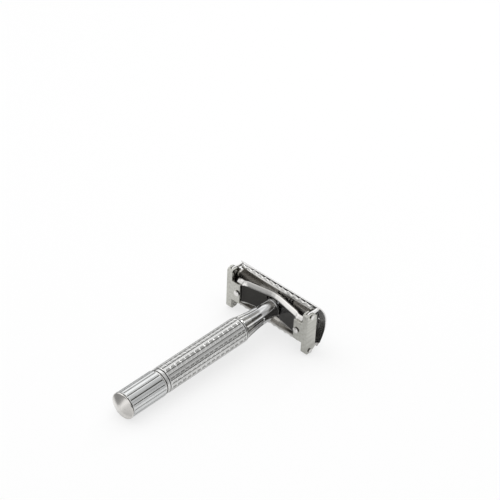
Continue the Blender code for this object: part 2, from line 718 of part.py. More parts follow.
# End brackets: a pocket between two plates holds the door ears, a foot carries the crossbar
bracket_outline = [
    (BRACKET_HALF_WIDTH - BRACKET_CORNER, WEB_BOTTOM_Z),
    (BRACKET_HALF_WIDTH, WEB_BOTTOM_Z + BRACKET_CORNER),
    (BRACKET_HALF_WIDTH, BRACKET_SHOULDER_Z),
    (BRACKET_TOP_HALF, BRACKET_TOP_Z),
]
bracket_outline += [(-x, z) for x, z in reversed(bracket_outline)]
pin_hole = PIN_RADIUS + FIT_GAP
for side, label in ((1, "left"), (-1, "right")):
    ends = sorted((side * BRACKET_INNER_Y, side * BRACKET_OUTER_Y))
    points, faces = extrude(bracket_outline, *ends)
    bracket = add_piece(f"end_bracket_{label}", points, faces, carriage, BRIGHT, 0.2)
    foot_ends = sorted((side * FOOT_INNER_Y, side * (BRACKET_INNER_Y + PLATE)))
    foot = box(
        (-FOOT_HALF_WIDTH, foot_ends[0], FOOT_BOTTOM_Z), (FOOT_HALF_WIDTH, foot_ends[1], FOOT_TOP_Z)
    )
    combine(bracket, [foot], "UNION")
    pocket_ends = sorted((side * (BRACKET_INNER_Y + PLATE), side * OUTER_PLATE_Y))
    wide = BRACKET_HALF_WIDTH + PLATE
    pocket = box((-wide, pocket_ends[0], WEB_TOP_Z), (wide, pocket_ends[1], BRACKET_TOP_Z + PLATE))
    rivet_cut = rod_along(
        "z", (0.0, side * RIVET_Y), rivet_hole, FOOT_BOTTOM_Z - PLATE, FOOT_TOP_Z + PLATE, PIN_COUNT
    )
    combine(bracket, [pocket, rivet_cut], "DIFFERENCE")
    bores = []
    for x in (-PIN_X, PIN_X):
        bore_ends = sorted((side * (BRACKET_INNER_Y - PLATE), side * (BRACKET_OUTER_Y + PLATE)))
        bores.append(rod_along("y", (x, PIN_Z), pin_hole, *bore_ends, PIN_COUNT))
    combine(bracket, bores, "DIFFERENCE")

    # Rivet that joins the crossbar to the bracket's foot
    rivet_profile = [
        (RIVET_HEAD_RADIUS / 2, FOOT_BOTTOM_Z - FIT_GAP - RIVET_HEAD, 0.0),
        (RIVET_HEAD_RADIUS, FOOT_BOTTOM_Z - FIT_GAP - RIVET_HEAD / 3, 0.0),
        (RIVET_HEAD_RADIUS, FOOT_BOTTOM_Z - FIT_GAP, 0.0),
        (RIVET_RADIUS, FOOT_BOTTOM_Z - FIT_GAP, 0.0),
        (RIVET_RADIUS, STRAP_CENTRE_Z - FOOT_DROP + SHEET + FIT_GAP, 0.0),
        (RIVET_HEAD_RADIUS, STRAP_CENTRE_Z - FOOT_DROP + SHEET + FIT_GAP, 0.0),
        (RIVET_HEAD_RADIUS, STRAP_CENTRE_Z - FOOT_DROP + SHEET + FIT_GAP + RIVET_HEAD / 2, 0.0),
        (RIVET_HEAD_RADIUS / 2, STRAP_CENTRE_Z - FOOT_DROP + SHEET + FIT_GAP + RIVET_HEAD, 0.0),
    ]
    rivet_rings = round_points(rivet_profile, PIN_COUNT, (0.0,))
    rivet_rings = [[(x, y + side * RIVET_Y, z) for x, y, z in ring] for ring in rivet_rings]
    points, faces = skin(rivet_rings, False)
    add_piece(f"bracket_rivet_{label}", points, faces, carriage, BRIGHT, 0.15, smooth=True)

    # Two hinge pins with heads on the outer plate
    for x, level in ((-PIN_X, "upper"), (PIN_X, "lower")):
        head = BRACKET_OUTER_Y + FIT_GAP
        pin_profile = [
            (PIN_RADIUS, BRACKET_INNER_Y),
            (PIN_RADIUS, head),
            (PIN_HEAD_RADIUS, head),
            (PIN_HEAD_RADIUS, head + PIN_HEAD / 2),
            (PIN_HEAD_RADIUS / 2, head + PIN_HEAD),
        ]
        pin_rings = []
        for radius, y in pin_profile:
            ring = []
            for k in range(PIN_COUNT):
                angle = math.tau * (k + 0.5) / PIN_COUNT
                ring.append((x + radius * math.cos(angle), side * y, PIN_Z + radius * math.sin(angle)))
            pin_rings.append(ring)
        points, faces = skin(pin_rings, False)
        add_piece(f"hinge_pin_{level}_{label}", points, faces, carriage, BRIGHT, 0.15, smooth=True)

# Doors: a curved cover with a hinge ear at each end
ear_root = DOOR_HALF_WIDTH - DOOR_SHEET / 4
ear_inner = BLADE_TAB_HALF_WIDTH + FIT_GAP
ear_outline = [(ear_root, door_z(ear_root) + DOOR_SHEET / 2), (ear_root, EAR_NECK_Z)]
for share in between(0.0, 1.0, EAR_ARC_STEPS):
    angle = math.pi * (EAR_ARC_START - EAR_ARC_SWEEP * share)
    ear_outline.append((PIN_X + BOSS_RADIUS * math.cos(angle), PIN_Z + BOSS_RADIUS * math.sin(angle)))
ear_outline += [(ear_inner, EAR_NECK_Z), (ear_inner, door_z(ear_inner) + DOOR_SHEET / 2)]
door_xs = between(DOOR_SEAM_HALF, DOOR_HALF_WIDTH, DOOR_BEND_STEPS)
for side, level, body in ((1, "lower", lower), (-1, "upper", upper)):
    door = add_sheet(
        f"door_{level}",
        sorted(side * x for x in door_xs),
        [-DOOR_HALF_LENGTH, DOOR_HALF_LENGTH],
        lambda x, y: True,
        lambda x, y: door_z(x),
        lambda x, y: door_z(x) + DOOR_SHEET,
        body, BRIGHT, 0.1,
    )
    ears = []
    bores = []
    for end in (-1, 1):
        ear_ends = sorted((end * EAR_Y, end * (EAR_Y + PLATE)))
        ears.append(extrude([(side * x, z) for x, z in ear_outline], *ear_ends))
        bore_ends = sorted((end * (EAR_Y - PLATE), end * (EAR_Y + 2 * PLATE)))
        bores.append(rod_along("y", (side * PIN_X, PIN_Z), pin_hole, *bore_ends, PIN_COUNT))
    combine(door, ears, "UNION")
    combine(door, bores, "DIFFERENCE")

# Rest height: the lowest point of the fixed handle touches the ground at zero
bpy.context.view_layer.update()
fixed = [thing for thing in bpy.data.objects if thing.type == "MESH"]
low = min((thing.matrix_world @ v.co).z for thing in fixed for v in thing.data.vertices)
spans = [(thing.matrix_world @ v.co).x for thing in fixed for v in thing.data.vertices]
middle = (min(spans) + max(spans)) / 2
handle.matrix_local = Matrix.Translation((-middle, 0.0, RISE - low)) @ LIE_DOWN
bpy.context.view_layer.update()
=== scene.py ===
# %% [markdown]
# # A safety razor lying on a pale table
#
# The razor is all metal: turned tubes for the handle, pressed sheet for the head. The solid
# model already knows where each piece is and how it moves. This lesson dresses it: each piece
# that shows gets a smooth surface worked out with numpy, and plated metal made of nodes.

# %% Load the model
import json

import bmesh
import bpy
import numpy as np
from mathutils import Matrix, Vector


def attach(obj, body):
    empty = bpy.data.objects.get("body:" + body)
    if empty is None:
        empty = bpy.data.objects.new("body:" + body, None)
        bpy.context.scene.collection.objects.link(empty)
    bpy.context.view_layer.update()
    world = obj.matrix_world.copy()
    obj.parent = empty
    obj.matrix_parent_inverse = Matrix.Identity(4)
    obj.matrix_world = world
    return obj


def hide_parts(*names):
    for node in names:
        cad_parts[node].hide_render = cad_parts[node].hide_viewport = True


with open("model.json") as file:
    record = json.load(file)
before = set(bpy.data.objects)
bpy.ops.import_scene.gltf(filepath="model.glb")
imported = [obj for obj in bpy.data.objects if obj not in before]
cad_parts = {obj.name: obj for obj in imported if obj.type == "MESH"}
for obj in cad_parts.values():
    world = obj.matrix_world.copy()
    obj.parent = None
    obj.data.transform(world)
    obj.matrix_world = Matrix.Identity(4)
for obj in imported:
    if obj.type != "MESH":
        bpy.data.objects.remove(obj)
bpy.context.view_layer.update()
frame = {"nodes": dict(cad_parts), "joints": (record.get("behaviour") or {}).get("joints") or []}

# %% [markdown]
# ## One upright frame for the whole razor
#
# The razor lies tilted on its guard and knob, which makes every measurement awkward. A maker
# thinks of it standing up: z along the handle, y along the blade, x across the head. Pieces
# could be built upright and their objects then turned, but a finished object has to sit at the
# origin, unturned. So the knob's joint gives the foot and the direction of that frame, and one
# function lays the points down before they go into a mesh.

# %% From upright to lying down
joints = {joint["name"]: joint for joint in frame["joints"]}
FOOT = np.array(joints["knob_turn"]["pos_m"])
ALONG = np.array(joints["knob_turn"]["axis"]) / np.linalg.norm(joints["knob_turn"]["axis"])
SIDE = np.array([0.0, 1.0, 0.0])
DOWN = np.cross(SIDE, ALONG)
MM = 0.001


def lay(points):
    """Place in the scene: foot + x times down + y times side + z times along; points in mm."""
    points = np.asarray(points, float) * MM
    return FOOT + points[..., :1] * DOWN + points[..., 1:2] * SIDE + points[..., 2:3] * ALONG


def heights_along(node):
    """Lowest and highest place of a node along the handle, in mm."""
    mesh = frame["nodes"][node].data
    points = np.empty(len(mesh.vertices) * 3)
    mesh.vertices.foreach_get("co", points)
    along = (points.reshape(-1, 3) - FOOT) @ ALONG / MM
    return round(float(along.min()), 2), round(float(along.max()), 2)


print("handle rises", round(float(np.degrees(np.arcsin(ALONG[2]))), 2), "degrees")
print("knob reaches from", *heights_along("twist_knob"), "mm")

# %% [markdown]
# ## From a grid of points to a piece
#
# A surface is a function of two parameters, so its points form a grid with rows and columns,
# and neighbouring points give the faces. Columns always close round. Rows either close too,
# which makes a ring, or end in a flat cap. Blender's own primitives could be reshaped instead,
# but a grid is exact, and it can be finer just where an edge runs.


# %% Faces of a grid
def grid_faces(rows, columns, ring):
    """Face k of row i joins columns k and k + 1 of rows i and i + 1, counted round."""
    i, k = np.meshgrid(np.arange(rows if ring else rows - 1), np.arange(columns), indexing="ij")
    below, above = i * columns, (i + 1) % rows * columns
    n = (k + 1) % columns
    faces = np.stack([below + k, below + n, above + n, above + k], -1).reshape(-1, 4).tolist()
    if not ring:
        faces.append(list(range(columns)))
        faces.append(list(range((rows - 1) * columns, rows * columns)))
    return faces


print("faces of a ring of 3 rows and 4 columns:", len(grid_faces(3, 4, True)))
print("faces of a capped tube of the same size:", len(grid_faces(3, 4, False)))

# %% [markdown]
# ## A closed mesh and its dress
#
# Blender wants to know which side of a face is outside, which edges are sharp, and which
# material the faces carry. All of it could be set by hand for each piece, but it is the same
# every time: faces turned outward, smooth shading except where two faces meet at more than 40
# degrees, one material, and the body of the solid model that the piece moves with.

# %% Mesh, object and dress
CREASE = float(np.radians(40.0))


def closed_mesh(name, points, faces):
    """Mesh of upright points in mm, laid down, with its faces turned outward."""
    mesh = bpy.data.meshes.new(name)
    mesh.from_pydata(lay(points).tolist(), [], faces)
    work = bmesh.new()
    work.from_mesh(mesh)
    bmesh.ops.recalc_face_normals(work, faces=work.faces)
    if work.calc_volume(signed=True) < 0:
        bmesh.ops.reverse_faces(work, faces=work.faces)
    work.to_mesh(mesh)
    work.free()
    return mesh


def add_object(name, data):
    """Object in the scene that shows the data."""
    made = bpy.data.objects.new(name, data)
    bpy.context.scene.collection.objects.link(made)
    return made


def dress(piece, body, material, stands_for=()):
    """Smooth faces with sharp creases, one material, and the body that the piece rides on."""
    mesh = piece.data
    mesh.polygons.foreach_set("use_smooth", np.ones(len(mesh.polygons), bool))
    mesh.set_sharp_from_angle(angle=CREASE)
    mesh.materials.clear()
    mesh.materials.append(material)
    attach(piece, body)
    if stands_for:
        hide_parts(*stands_for)
    print(f"{piece.name}: {len(mesh.vertices)} points, {len(mesh.polygons)} faces")


def grid_piece(name, grid, body, material, stands_for=(), ring=True):
    """Piece from a grid of rows and columns of upright points in mm."""
    rows, columns = grid.shape[:2]
    mesh = closed_mesh(name, grid.reshape(-1, 3), grid_faces(rows, columns, ring))
    piece = add_object(name, mesh)
    dress(piece, body, material, stands_for)
    return piece


# %% [markdown]
# ## Rounded outlines
#
# Real sheet and turned metal has no perfectly sharp corner, and plated metal shows it at once:
# the rounded edge is where the highlight sits. A bevel afterwards is one way, and some small
# pieces get one. A polygon that becomes the outline of a grid is eased before that: each corner
# gives way to a short curve, because this keeps the rows of the grid even.


# %% Ease the corners of an outline
def eased(outline, radius, steps=4):
    """Each corner becomes (1-t)^2 a + 2t(1-t) corner + t^2 b, with a and b a radius away."""
    corner = np.asarray(outline, float)
    before, after = np.roll(corner, 1, 0) - corner, np.roll(corner, -1, 0) - corner
    long_before = np.linalg.norm(before, axis=1, keepdims=True)
    long_after = np.linalg.norm(after, axis=1, keepdims=True)
    radius = np.broadcast_to(np.asarray(radius, float), len(corner))[:, None]
    a = corner + before / long_before * np.minimum(radius, 0.45 * long_before)
    b = corner + after / long_after * np.minimum(radius, 0.45 * long_after)
    t = np.linspace(0.0, 1.0, steps)[None, :, None]
    curve = (1 - t) ** 2 * a[:, None] + 2 * t * (1 - t) * corner[:, None] + t**2 * b[:, None]
    return curve.reshape(-1, 2)


def fine(outline, step):
    """Outline with extra points so that no side is longer than the step."""
    outline = np.asarray(outline, float)
    nxt = np.roll(outline, -1, 0)
    parts = np.maximum(np.ceil(np.linalg.norm(nxt - outline, axis=1) / step), 1).astype(int)
    index = np.repeat(np.arange(len(outline)), parts)
    share = (np.arange(parts.sum()) - np.repeat(np.cumsum(parts) - parts, parts)) / parts[index]
    return outline[index] + (nxt - outline)[index] * share[:, None]


square = [[0.0, 0.0], [1.0, 0.0], [1.0, 1.0], [0.0, 1.0]]
print("points of a square with eased corners:", len(eased(square, 0.2)))
print("points of a square with a point every quarter side:", len(fine(square, 0.25)))

# %% [markdown]
# ## Turned pieces
#
# Knob, grip, collar and neck come off a lathe: an outline of radius and height is carried round
# the axis. Grooves and knurling are cut afterwards. Cutting them with boolean tools would take
# hundreds of cutters, so they are a second function that takes away from the radius, by angle
# and height.


# %% Carry an outline round the axis
def even(count):
    """Angles of evenly spaced columns, in degrees."""
    return np.linspace(0.0, 360.0, count, endpoint=False)


def polar_grid(outline, degrees):
    """Angle, radius and height at every point: a row for each outline point, a column by angle."""
    radius, height = np.asarray(outline, float).T
    angle, radius = np.meshgrid(np.radians(degrees), radius)
    return angle, radius, np.repeat(height[:, None], len(degrees), 1)


def turned(outline, degrees, relief=None):
    """Point = (r cos a, r sin a, z) with r less the relief at angle a and height z."""
    a, r, z = polar_grid(outline, degrees)
    if relief is not None:
        r = r - relief(a, r, z)
    return np.stack([r * np.cos(a), r * np.sin(a), z], -1)


def step_up(value, low, high):
    """Smooth step: 0 below low, 1 above high, 3t^2 - 2t^3 between."""
    t = np.clip((value - low) / (high - low), 0.0, 1.0)
    return t * t * (3 - 2 * t)


def band(value, low, high, soft):
    """1 between low and high with soft sides, else 0."""
    return step_up(value, low - soft, low + soft) - step_up(value, high - soft, high + soft)


print("height of a smooth step at a quarter of its width:", step_up(0.25, 0.0, 1.0))

# %% [markdown]
# ## Swept pieces
#
# The doors, the guard and the crossbar are pressed from sheet: one cross-section drawn along
# the blade's length, with a rise or fall on the way. A curve with a bevel object could draw it,
# but here the section has to change along the way too, so it is a function of y.


# %% Carry a section along the blade
def swept(section, ys):
    """Row j is the section at ys[j]: its x and z with that y in the middle."""
    rows = []
    for y in ys:
        xz = np.asarray(section(y), float)
        rows.append(np.stack([xz[:, 0], np.full(len(xz), y), xz[:, 1]], -1))
    return np.array(rows)


print("rows, points and numbers of a short square bar:", swept(lambda y: square, [0.0, 1.0]).shape)

# %% [markdown]
# ## Writing shader maths as Python
#
# A node tree is hard to read as a list of links. A small class wraps one socket and lets plus,
# minus and times add the nodes, so a formula for wear reads like a formula. Everything else
# goes through one method that takes the node's type, its settings and its inputs.


# %% A socket that understands arithmetic
class Shade:
    """One output socket of a node tree; made with a tree alone, it can only add nodes."""

    def __init__(self, tree, socket=None):
        self.tree = tree
        self.socket = socket

    def node(self, kind, settings=None, inputs=None, output=0):
        """Add a node: settings first, then its inputs by name or number, and keep one output."""
        made = self.tree.nodes.new(kind)
        for key, value in (settings or {}).items():
            setattr(made, key, value)
        for key, value in (inputs or {}).items():
            if isinstance(value, Shade):
                value.into(made.inputs[key])
            else:
                made.inputs[key].default_value = value
        return Shade(self.tree, made.outputs[output])

    def into(self, socket):
        """Link this value to an input socket."""
        self.tree.links.new(self.socket, socket)

    def maths(self, operation, *values):
        """A Math node, such as SQRT or SINE, on the values."""
        return self.node("ShaderNodeMath", {"operation": operation}, dict(enumerate(values)))

    def __add__(self, other):
        return self.maths("ADD", self, other)

    __radd__ = __add__

    def __sub__(self, other):
        return self.maths("SUBTRACT", self, other)

    def __rsub__(self, other):
        return self.maths("SUBTRACT", other, self)

    def __mul__(self, other):
        return self.maths("MULTIPLY", self, other)

    __rmul__ = __mul__

    def dot(self, way):
        """Dot product with a fixed direction."""
        inputs = {0: self, 1: tuple(way)}
        return self.node("ShaderNodeVectorMath", {"operation": "DOT_PRODUCT"}, inputs, "Value")

    def smooth(self, low, high):
        """0 below low, 1 above high, smooth between."""
        inputs = {"Value": self, "From Min": low, "From Max": high}
        return self.node("ShaderNodeMapRange", {"interpolation_type": "SMOOTHSTEP"}, inputs)

    def blend(self, first, second):
        """Colour between the first and the second, by this value; 6 and 7 are the colour inputs."""
        inputs = {0: self, 6: first, 7: second}
        return self.node("ShaderNodeMix", {"data_type": "RGBA"}, inputs, 2)


print("what a shade can do:", [name for name in vars(Shade) if not name.startswith("_")])

# %% [markdown]
# ## Plated metal
#
# The razor is brass plated with nickel or chrome. Old plating doesn't reflect perfectly: it has a
# faint cloudy tone, fine rub marks, and dirt in the grooves. The dark lines along the handle are
# painted shade: the grooves are darkened in the base colour, on knob and grip together with their
# dirt. Photographs of worn metal could be wrapped round it, but noise from the coordinates needs
# no picture and has no seam. Metal's colour is its reflection colour, so cloud, dirt and painted
# shade go into the base colour, and the rub marks into roughness and a very small bump.


# %% Coordinates of the upright frame inside a material
def new_metal(name):
    """Metal material, its shader, the place in metres, and the upright x, y and z in mm."""
    material = bpy.data.materials.new(name)
    material.use_nodes = True
    tree = material.node_tree
    shader = tree.nodes["Principled BSDF"]
    shader.inputs["Metallic"].default_value = 1.0
    spot = Shade(tree).node("ShaderNodeTexCoord", output="Object")
    upright = [(spot.dot(way) - float(FOOT @ way)) * 1000.0 for way in (DOWN, SIDE, ALONG)]
    return material, shader, spot, upright


def rubbed(spot, cells):
    """Cloudy noise from 0 to 1, with this many cells per unit of the place."""
    inputs = {"Vector": spot, "Scale": cells, "Detail": 5.0, "Roughness": 0.6}
    return spot.node("ShaderNodeTexNoise", {}, inputs)


def distance_from_axis(x, y):
    """Distance from the handle's axis: square root of x^2 + y^2, in mm."""
    return x.maths("SQRT", x * x + y * y)


# %% The metals
CLOUD_CELLS, SPECK_CELLS, MARK_CELLS = 90.0, 900.0, 2600.0
MARK_DEPTH_M = 0.0002


def plated(name, light, dark, rough, dirt_and_shade=None, bump=0.02, scratch=1.0, ripple=None):
    """Plating with a cloudy tone and rub marks; dirt and painted shade darken it, ripple takes the
    bump's place.
    """
    material, shader, spot, (x, y, z) = new_metal(name)
    cloud = rubbed(spot, CLOUD_CELLS).smooth(0.35, 0.7)
    colour = cloud.blend((*light, 1.0), (*[0.9 * c for c in light], 1.0))
    specks = rubbed(spot, SPECK_CELLS).smooth(0.62, 0.74)
    colour = (specks * 0.35).blend(colour, (*dark, 1.0))
    # Dirt and painted shade: the function's value darkens the base colour toward the dark colour.
    if dirt_and_shade is not None:
        colour = dirt_and_shade(x, y, z, spot).blend(colour, (*dark, 1.0))
    colour.into(shader.inputs["Base Color"])
    marks = rubbed(spot, MARK_CELLS)
    (marks * (0.12 * scratch) + cloud * 0.06 + rough).into(shader.inputs["Roughness"])
    height, depth = (marks, MARK_DEPTH_M) if ripple is None else ripple(x, y, spot)
    inputs = {"Strength": bump, "Distance": depth, "Height": height}
    spot.node("ShaderNodeBump", {}, inputs).into(shader.inputs["Normal"])
    return material


BRIGHT = (0.83, 0.82, 0.80)
# SHADOW is the dark of the specks, and the painted shade in grooves and flutes.
SHADOW = (0.16, 0.15, 0.13)
plain_plate = plated("bright_plating", BRIGHT, SHADOW, 0.07)
steel = plated("bare_steel", (0.50, 0.50, 0.50), (0.2, 0.2, 0.2), 0.25)
print("metals:", plain_plate.name, steel.name)

# %% [markdown]
# ## The twist knob
#
# The knob is what opens the head. It is turned brass with sixteen broad soft ribs, parted by
# narrow grooves, and it ends in a plain rounded shoulder. A gear profile pushed up would give
# ribs that run out at both ends; as a relief on a turned outline they stop short of the
# shoulders. The ribs are worn bright; the grooves hold dirt and are darkened with painted
# shade, so both follow the distance from the axis.

# %% Knob surface
KNOB_R, KNOB_BORE_R = 5.5, 1.9
RIBS, KNOB_GROOVE_AT = 16, 15.8
GROOVE_DEPTH, CROWN_FALL = 0.32, 0.14
KNOB_LOW, KNOB_TOP = heights_along("twist_knob")


def knob_relief(angle, radius, z):
    """Narrow grooves between the ribs, and a crown that falls as the square to each groove."""
    share = np.mod((np.degrees(angle) - KNOB_GROOVE_AT) * RIBS / 360.0, 1.0)
    from_groove = np.minimum(share, 1 - share)
    groove = 1 - step_up(from_groove, 0.02, 0.13)
    crown = CROWN_FALL * (1 - 2 * from_groove) ** 2
    ribbed = band(z, KNOB_LOW + 0.45, KNOB_TOP - 0.12, 0.15)
    return (GROOVE_DEPTH * groove + crown) * ribbed * (radius > 5.0)


knob_side = np.concatenate([
    np.linspace(KNOB_LOW + 0.25, KNOB_LOW + 0.7, 8),
    np.linspace(KNOB_LOW + 1.0, KNOB_TOP - 0.6, 40),
])
low_shoulder = [[5.1, 0.0], [5.38, 0.06], [KNOB_R, 0.18]]
top_shoulder = [[KNOB_R, 0.3], [KNOB_R, 0.24], [KNOB_R, 0.18], [5.46, 0.09], [5.3, 0.0]]
knob_outline = np.concatenate([
    [[KNOB_BORE_R, KNOB_LOW]],
    [[radius, KNOB_LOW + rise] for radius, rise in low_shoulder],
    np.stack([np.full(len(knob_side), KNOB_R), knob_side], -1),
    [[radius, KNOB_TOP - fall] for radius, fall in top_shoulder],
    [[KNOB_BORE_R, KNOB_TOP]],
])


# Painted shade, with dirt: the knob's grooves are darkened in the base colour.
def knob_dirt_and_shade(x, y, z, spot):
    """Dirt and painted shade in the grooves: full up to 5.12 mm from the axis, none from 5.33 mm on.
    """
    return (1.0 - distance_from_axis(x, y).smooth(5.12, 5.33)) * 0.8


knob_metal = plated("knob_plating", (0.74, 0.75, 0.75), SHADOW, 0.14, knob_dirt_and_shade)
grid_piece(
    "knob_ribbed", turned(knob_outline, even(384), knob_relief), "knob", knob_metal,
    ["twist_knob"],
)

# %% [markdown]
# ## The knob's end
#
# The end of the knob is turned to a polished low cone with a round edge and a small flat at its
# middle. A dome would reflect the room in round patches; a cone reflects it in wedges that meet
# at the middle, as the real one does. So the outline is nearly straight: the height grows as
# the radius to the power 1.15. The lathe's fine rings are far too small for the mesh, so they
# are a bump in the material.

# %% End cap surface
CAP_FLAT_R, CAP_END, CAP_RISE = 1.14, -0.47, 1.25
RING_PITCH, RING_DEPTH_M = 0.26, 0.00001


def turning_marks(x, y, spot):
    """Fine rings left by the lathe: height = sin(2 pi distance / pitch)."""
    rings = distance_from_axis(x, y) * (2 * np.pi / RING_PITCH)
    return x.maths("SINE", rings), RING_DEPTH_M


cap_r = np.linspace(CAP_FLAT_R, 5.1, 40)
cap_z = CAP_END + CAP_RISE * ((cap_r - CAP_FLAT_R) / 4.0) ** 1.15
cap_rim = [[5.26, 0.84], [5.38, 0.94], [5.46, 1.06], [5.5, 1.2], [5.46, 1.28], [5.36, 1.3]]
cap_outline = np.concatenate([np.stack([cap_r, cap_z], -1), cap_rim])
cap_light = (0.86, 0.84, 0.81)
cap_metal = plated("cap_plating", cap_light, SHADOW, 0.07, bump=0.3, ripple=turning_marks)
grid_piece(
    "knob_end_polished", turned(cap_outline, even(192)), "knob", cap_metal,
    ["knob_end_cap"], ring=False,
)

# %% [markdown]
# ## The bushing
#
# A smooth ring closes the grip toward the knob, and the knob turns against it. It could be a
# cylinder with a bevel and a hole, but a rectangle with eased corners, carried round the axis,
# gives edge and bore in one go.

# %% Bushing ring
BUSH_BORE_R, BUSH_R = 4.4, 5.2
BUSH_LOW, BUSH_HIGH = heights_along("knob_bushing")[0], heights_along("grip_sleeve")[0] - 0.3
ring_plate = plated("ring_plating", (0.76, 0.76, 0.75), SHADOW, 0.16)
bush_corners = [
    [BUSH_BORE_R, BUSH_LOW], [BUSH_R, BUSH_LOW], [BUSH_R, BUSH_HIGH], [BUSH_BORE_R, BUSH_HIGH],
]
bushing_outline = fine(eased(bush_corners, 0.14, 5), 0.4)
grid_piece(
    "bushing_ring", turned(bushing_outline, even(160)), "handle", ring_plate,
    ["knob_bushing"],
)

# %% [markdown]
# ## The flutes and their painted shade
#
# Twelve flutes start on the collar and run up the neck, so both pieces share one relief: a wide
# shallow scoop, which is a parabola across the flute and less deep where the cutter runs out,
# and in it a narrow flute with a round end. Shade is painted into the base colour where the cut
# is deep. The material can't know that from coordinates alone, so each point of the mesh keeps
# its depth as an attribute, and the material reads it.

# %% One relief for collar and neck
FLUTES, FLUTE_AT = 12, 14.0
FLUTE_START, FLUTE_END, FLUTE_HALF_WIDTH, FLUTE_DEPTH = 62.9, 72.9, 0.72, 0.28
SCOOP_FULL, SCOOP_END, SCOOP_DEPTH = 70.0, 77.2, 0.16
FLUTED_COLUMNS = even(384)


def flute_relief(angle, radius, z):
    """Scoop: depth (1 - s^2) less 0.16 across^2. Flute: depth (1 - distance^2) to the power 0.7."""
    share = np.mod((np.degrees(angle) - FLUTE_AT) * FLUTES / 360.0 + 0.5, 1.0) - 0.5
    across = share * 2 * np.pi / FLUTES * radius
    run_out = np.clip((z - SCOOP_FULL) / (SCOOP_END - SCOOP_FULL), 0.0, 1.0)
    scoop = np.maximum(SCOOP_DEPTH * (1 - run_out**2) - 0.16 * across**2, 0.0)
    from_flute = np.hypot(across, np.maximum(z - FLUTE_END, 0.0)) / FLUTE_HALF_WIDTH
    flute = FLUTE_DEPTH * np.clip(1 - from_flute**2, 0.0, 1.0) ** 0.7
    return (scoop + flute) * step_up(z, FLUTE_START, FLUTE_START + 0.6) * (radius > 3.2)


# Painted shade: the base colour darkens where the flutes are cut deep.
def flute_painted_shade(x, y, z, spot):
    """Painted shade at the bottom of the flutes, by the depth in mm that the points keep."""
    depth = spot.node("ShaderNodeAttribute", {"attribute_name": "depth"}, {}, 2)
    return depth.smooth(0.30, 0.44) * 0.8


def fluted_piece(name, outline, metal, node):
    """Turned piece with the flutes cut in, whose points keep how deep the cut is there."""
    grid = turned(outline, FLUTED_COLUMNS, flute_relief)
    piece = grid_piece(name, grid, "handle", metal, [node])
    depth = flute_relief(*polar_grid(outline, FLUTED_COLUMNS))
    kept = piece.data.attributes.new("depth", "FLOAT", "POINT")
    kept.data.foreach_set("value", depth.ravel().astype(np.float32))
    print(f"deepest cut in {name}: {depth.max():.2f} mm")


# %% [markdown]
# ## The collar
#
# The collar joins the thick grip to the slim neck: a narrow ring first, then a taper. Its
# outline could be a straight cone, but the real one is turned in a soft hollow curve, so the
# radius is read off between four measured places.

# %% Collar surface
COLLAR_LOW, COLLAR_TOP, COLLAR_BORE_R = 62.3, 67.38, 4.0
collar_metal = plated("collar_plating", (0.76, 0.76, 0.75), SHADOW, 0.16, flute_painted_shade)
taper_z = np.linspace(COLLAR_LOW + 0.2, COLLAR_TOP, 64)
taper_r = np.interp(taper_z, [62.5, 63.6, 65.5, COLLAR_TOP], [5.27, 4.96, 4.66, 4.42])
collar_outline = np.concatenate([
    [[COLLAR_BORE_R, COLLAR_LOW], [5.1, COLLAR_LOW], [5.22, 62.33], [5.28, 62.4]],
    np.stack([taper_r, taper_z], -1),
    [[COLLAR_BORE_R, COLLAR_TOP]],
])
fluted_piece("grip_collar_round", collar_outline, collar_metal, "grip_collar")

# %% [markdown]
# ## The knurled grip
#
# The pattern of the grip repeats nine times round it: a groove, a narrow rib with faint notches,
# a groove again, a stripe with fine crosswise cuts, and a row of small pockets with bright
# bridges between them. A displacement modifier would need a very fine mesh everywhere. Here all of it
# is one relief function of the angle and the height, and the grid's columns and rows crowd
# where an edge runs, so that the edges are crisp with few faces.

# %% Grip relief
GRIP_R, GRIP_BORE_R = 5.3, 4.0
GRIP_LOW, GRIP_HIGH = heights_along("grip_sleeve")
GRIP_REPEATS = 9
BRIDGE_AT, BRIDGE_PITCH = 31.76, 2.562


def bridge_distance(z):
    """Distance in mm from the nearest bridge, which come at an even pitch along the grip."""
    return np.abs(np.mod((z - BRIDGE_AT) / BRIDGE_PITCH + 0.5, 1.0) - 0.5) * BRIDGE_PITCH


def grip_relief(angle, radius, z):
    """In each repeat two grooves, a stripe, a row of pockets, and faint notches in the rib."""
    turn = np.mod(np.degrees(angle), 360.0 / GRIP_REPEATS)
    groove = band(turn, 0.5, 3.6, 0.4) + band(turn, 16.4, 19.2, 0.4)
    between_bridges = step_up(bridge_distance(z), 0.28, 0.48)
    pocket = band(turn, 31.2, 39.3, 0.6) * between_bridges
    notch = band(turn, 4.8, 14.6, 0.6) * between_bridges
    stripe = band(turn, 19.9, 28.4, 0.5)
    inside = band(z, GRIP_LOW + 0.5, GRIP_HIGH - 0.5, 0.2)
    depth = 0.27 * groove + 0.18 * pocket + 0.07 * notch + 0.09 * stripe
    return depth * inside * (radius > 5.0)


print("bridges along the grip:", int((GRIP_HIGH - GRIP_LOW) / BRIDGE_PITCH))

# %% Columns and rows of the grip
# Degrees within one repeat, close together where an edge of the pattern runs.
turn_stops = [
    0.1, 0.9, 2.05, 3.2, 4.0, 4.5, 5.4, 8.0, 11.5, 14.0, 15.2, 16.0, 16.8, 17.8, 18.8, 19.4, 20.4,
    22.0, 25.0, 28.2, 29.3, 30.6, 31.8, 34.0, 36.6, 38.7, 39.5,
]
repeat_starts = 360.0 / GRIP_REPEATS * np.arange(GRIP_REPEATS)
grip_turns = (np.array(turn_stops) + repeat_starts[:, None]).ravel()
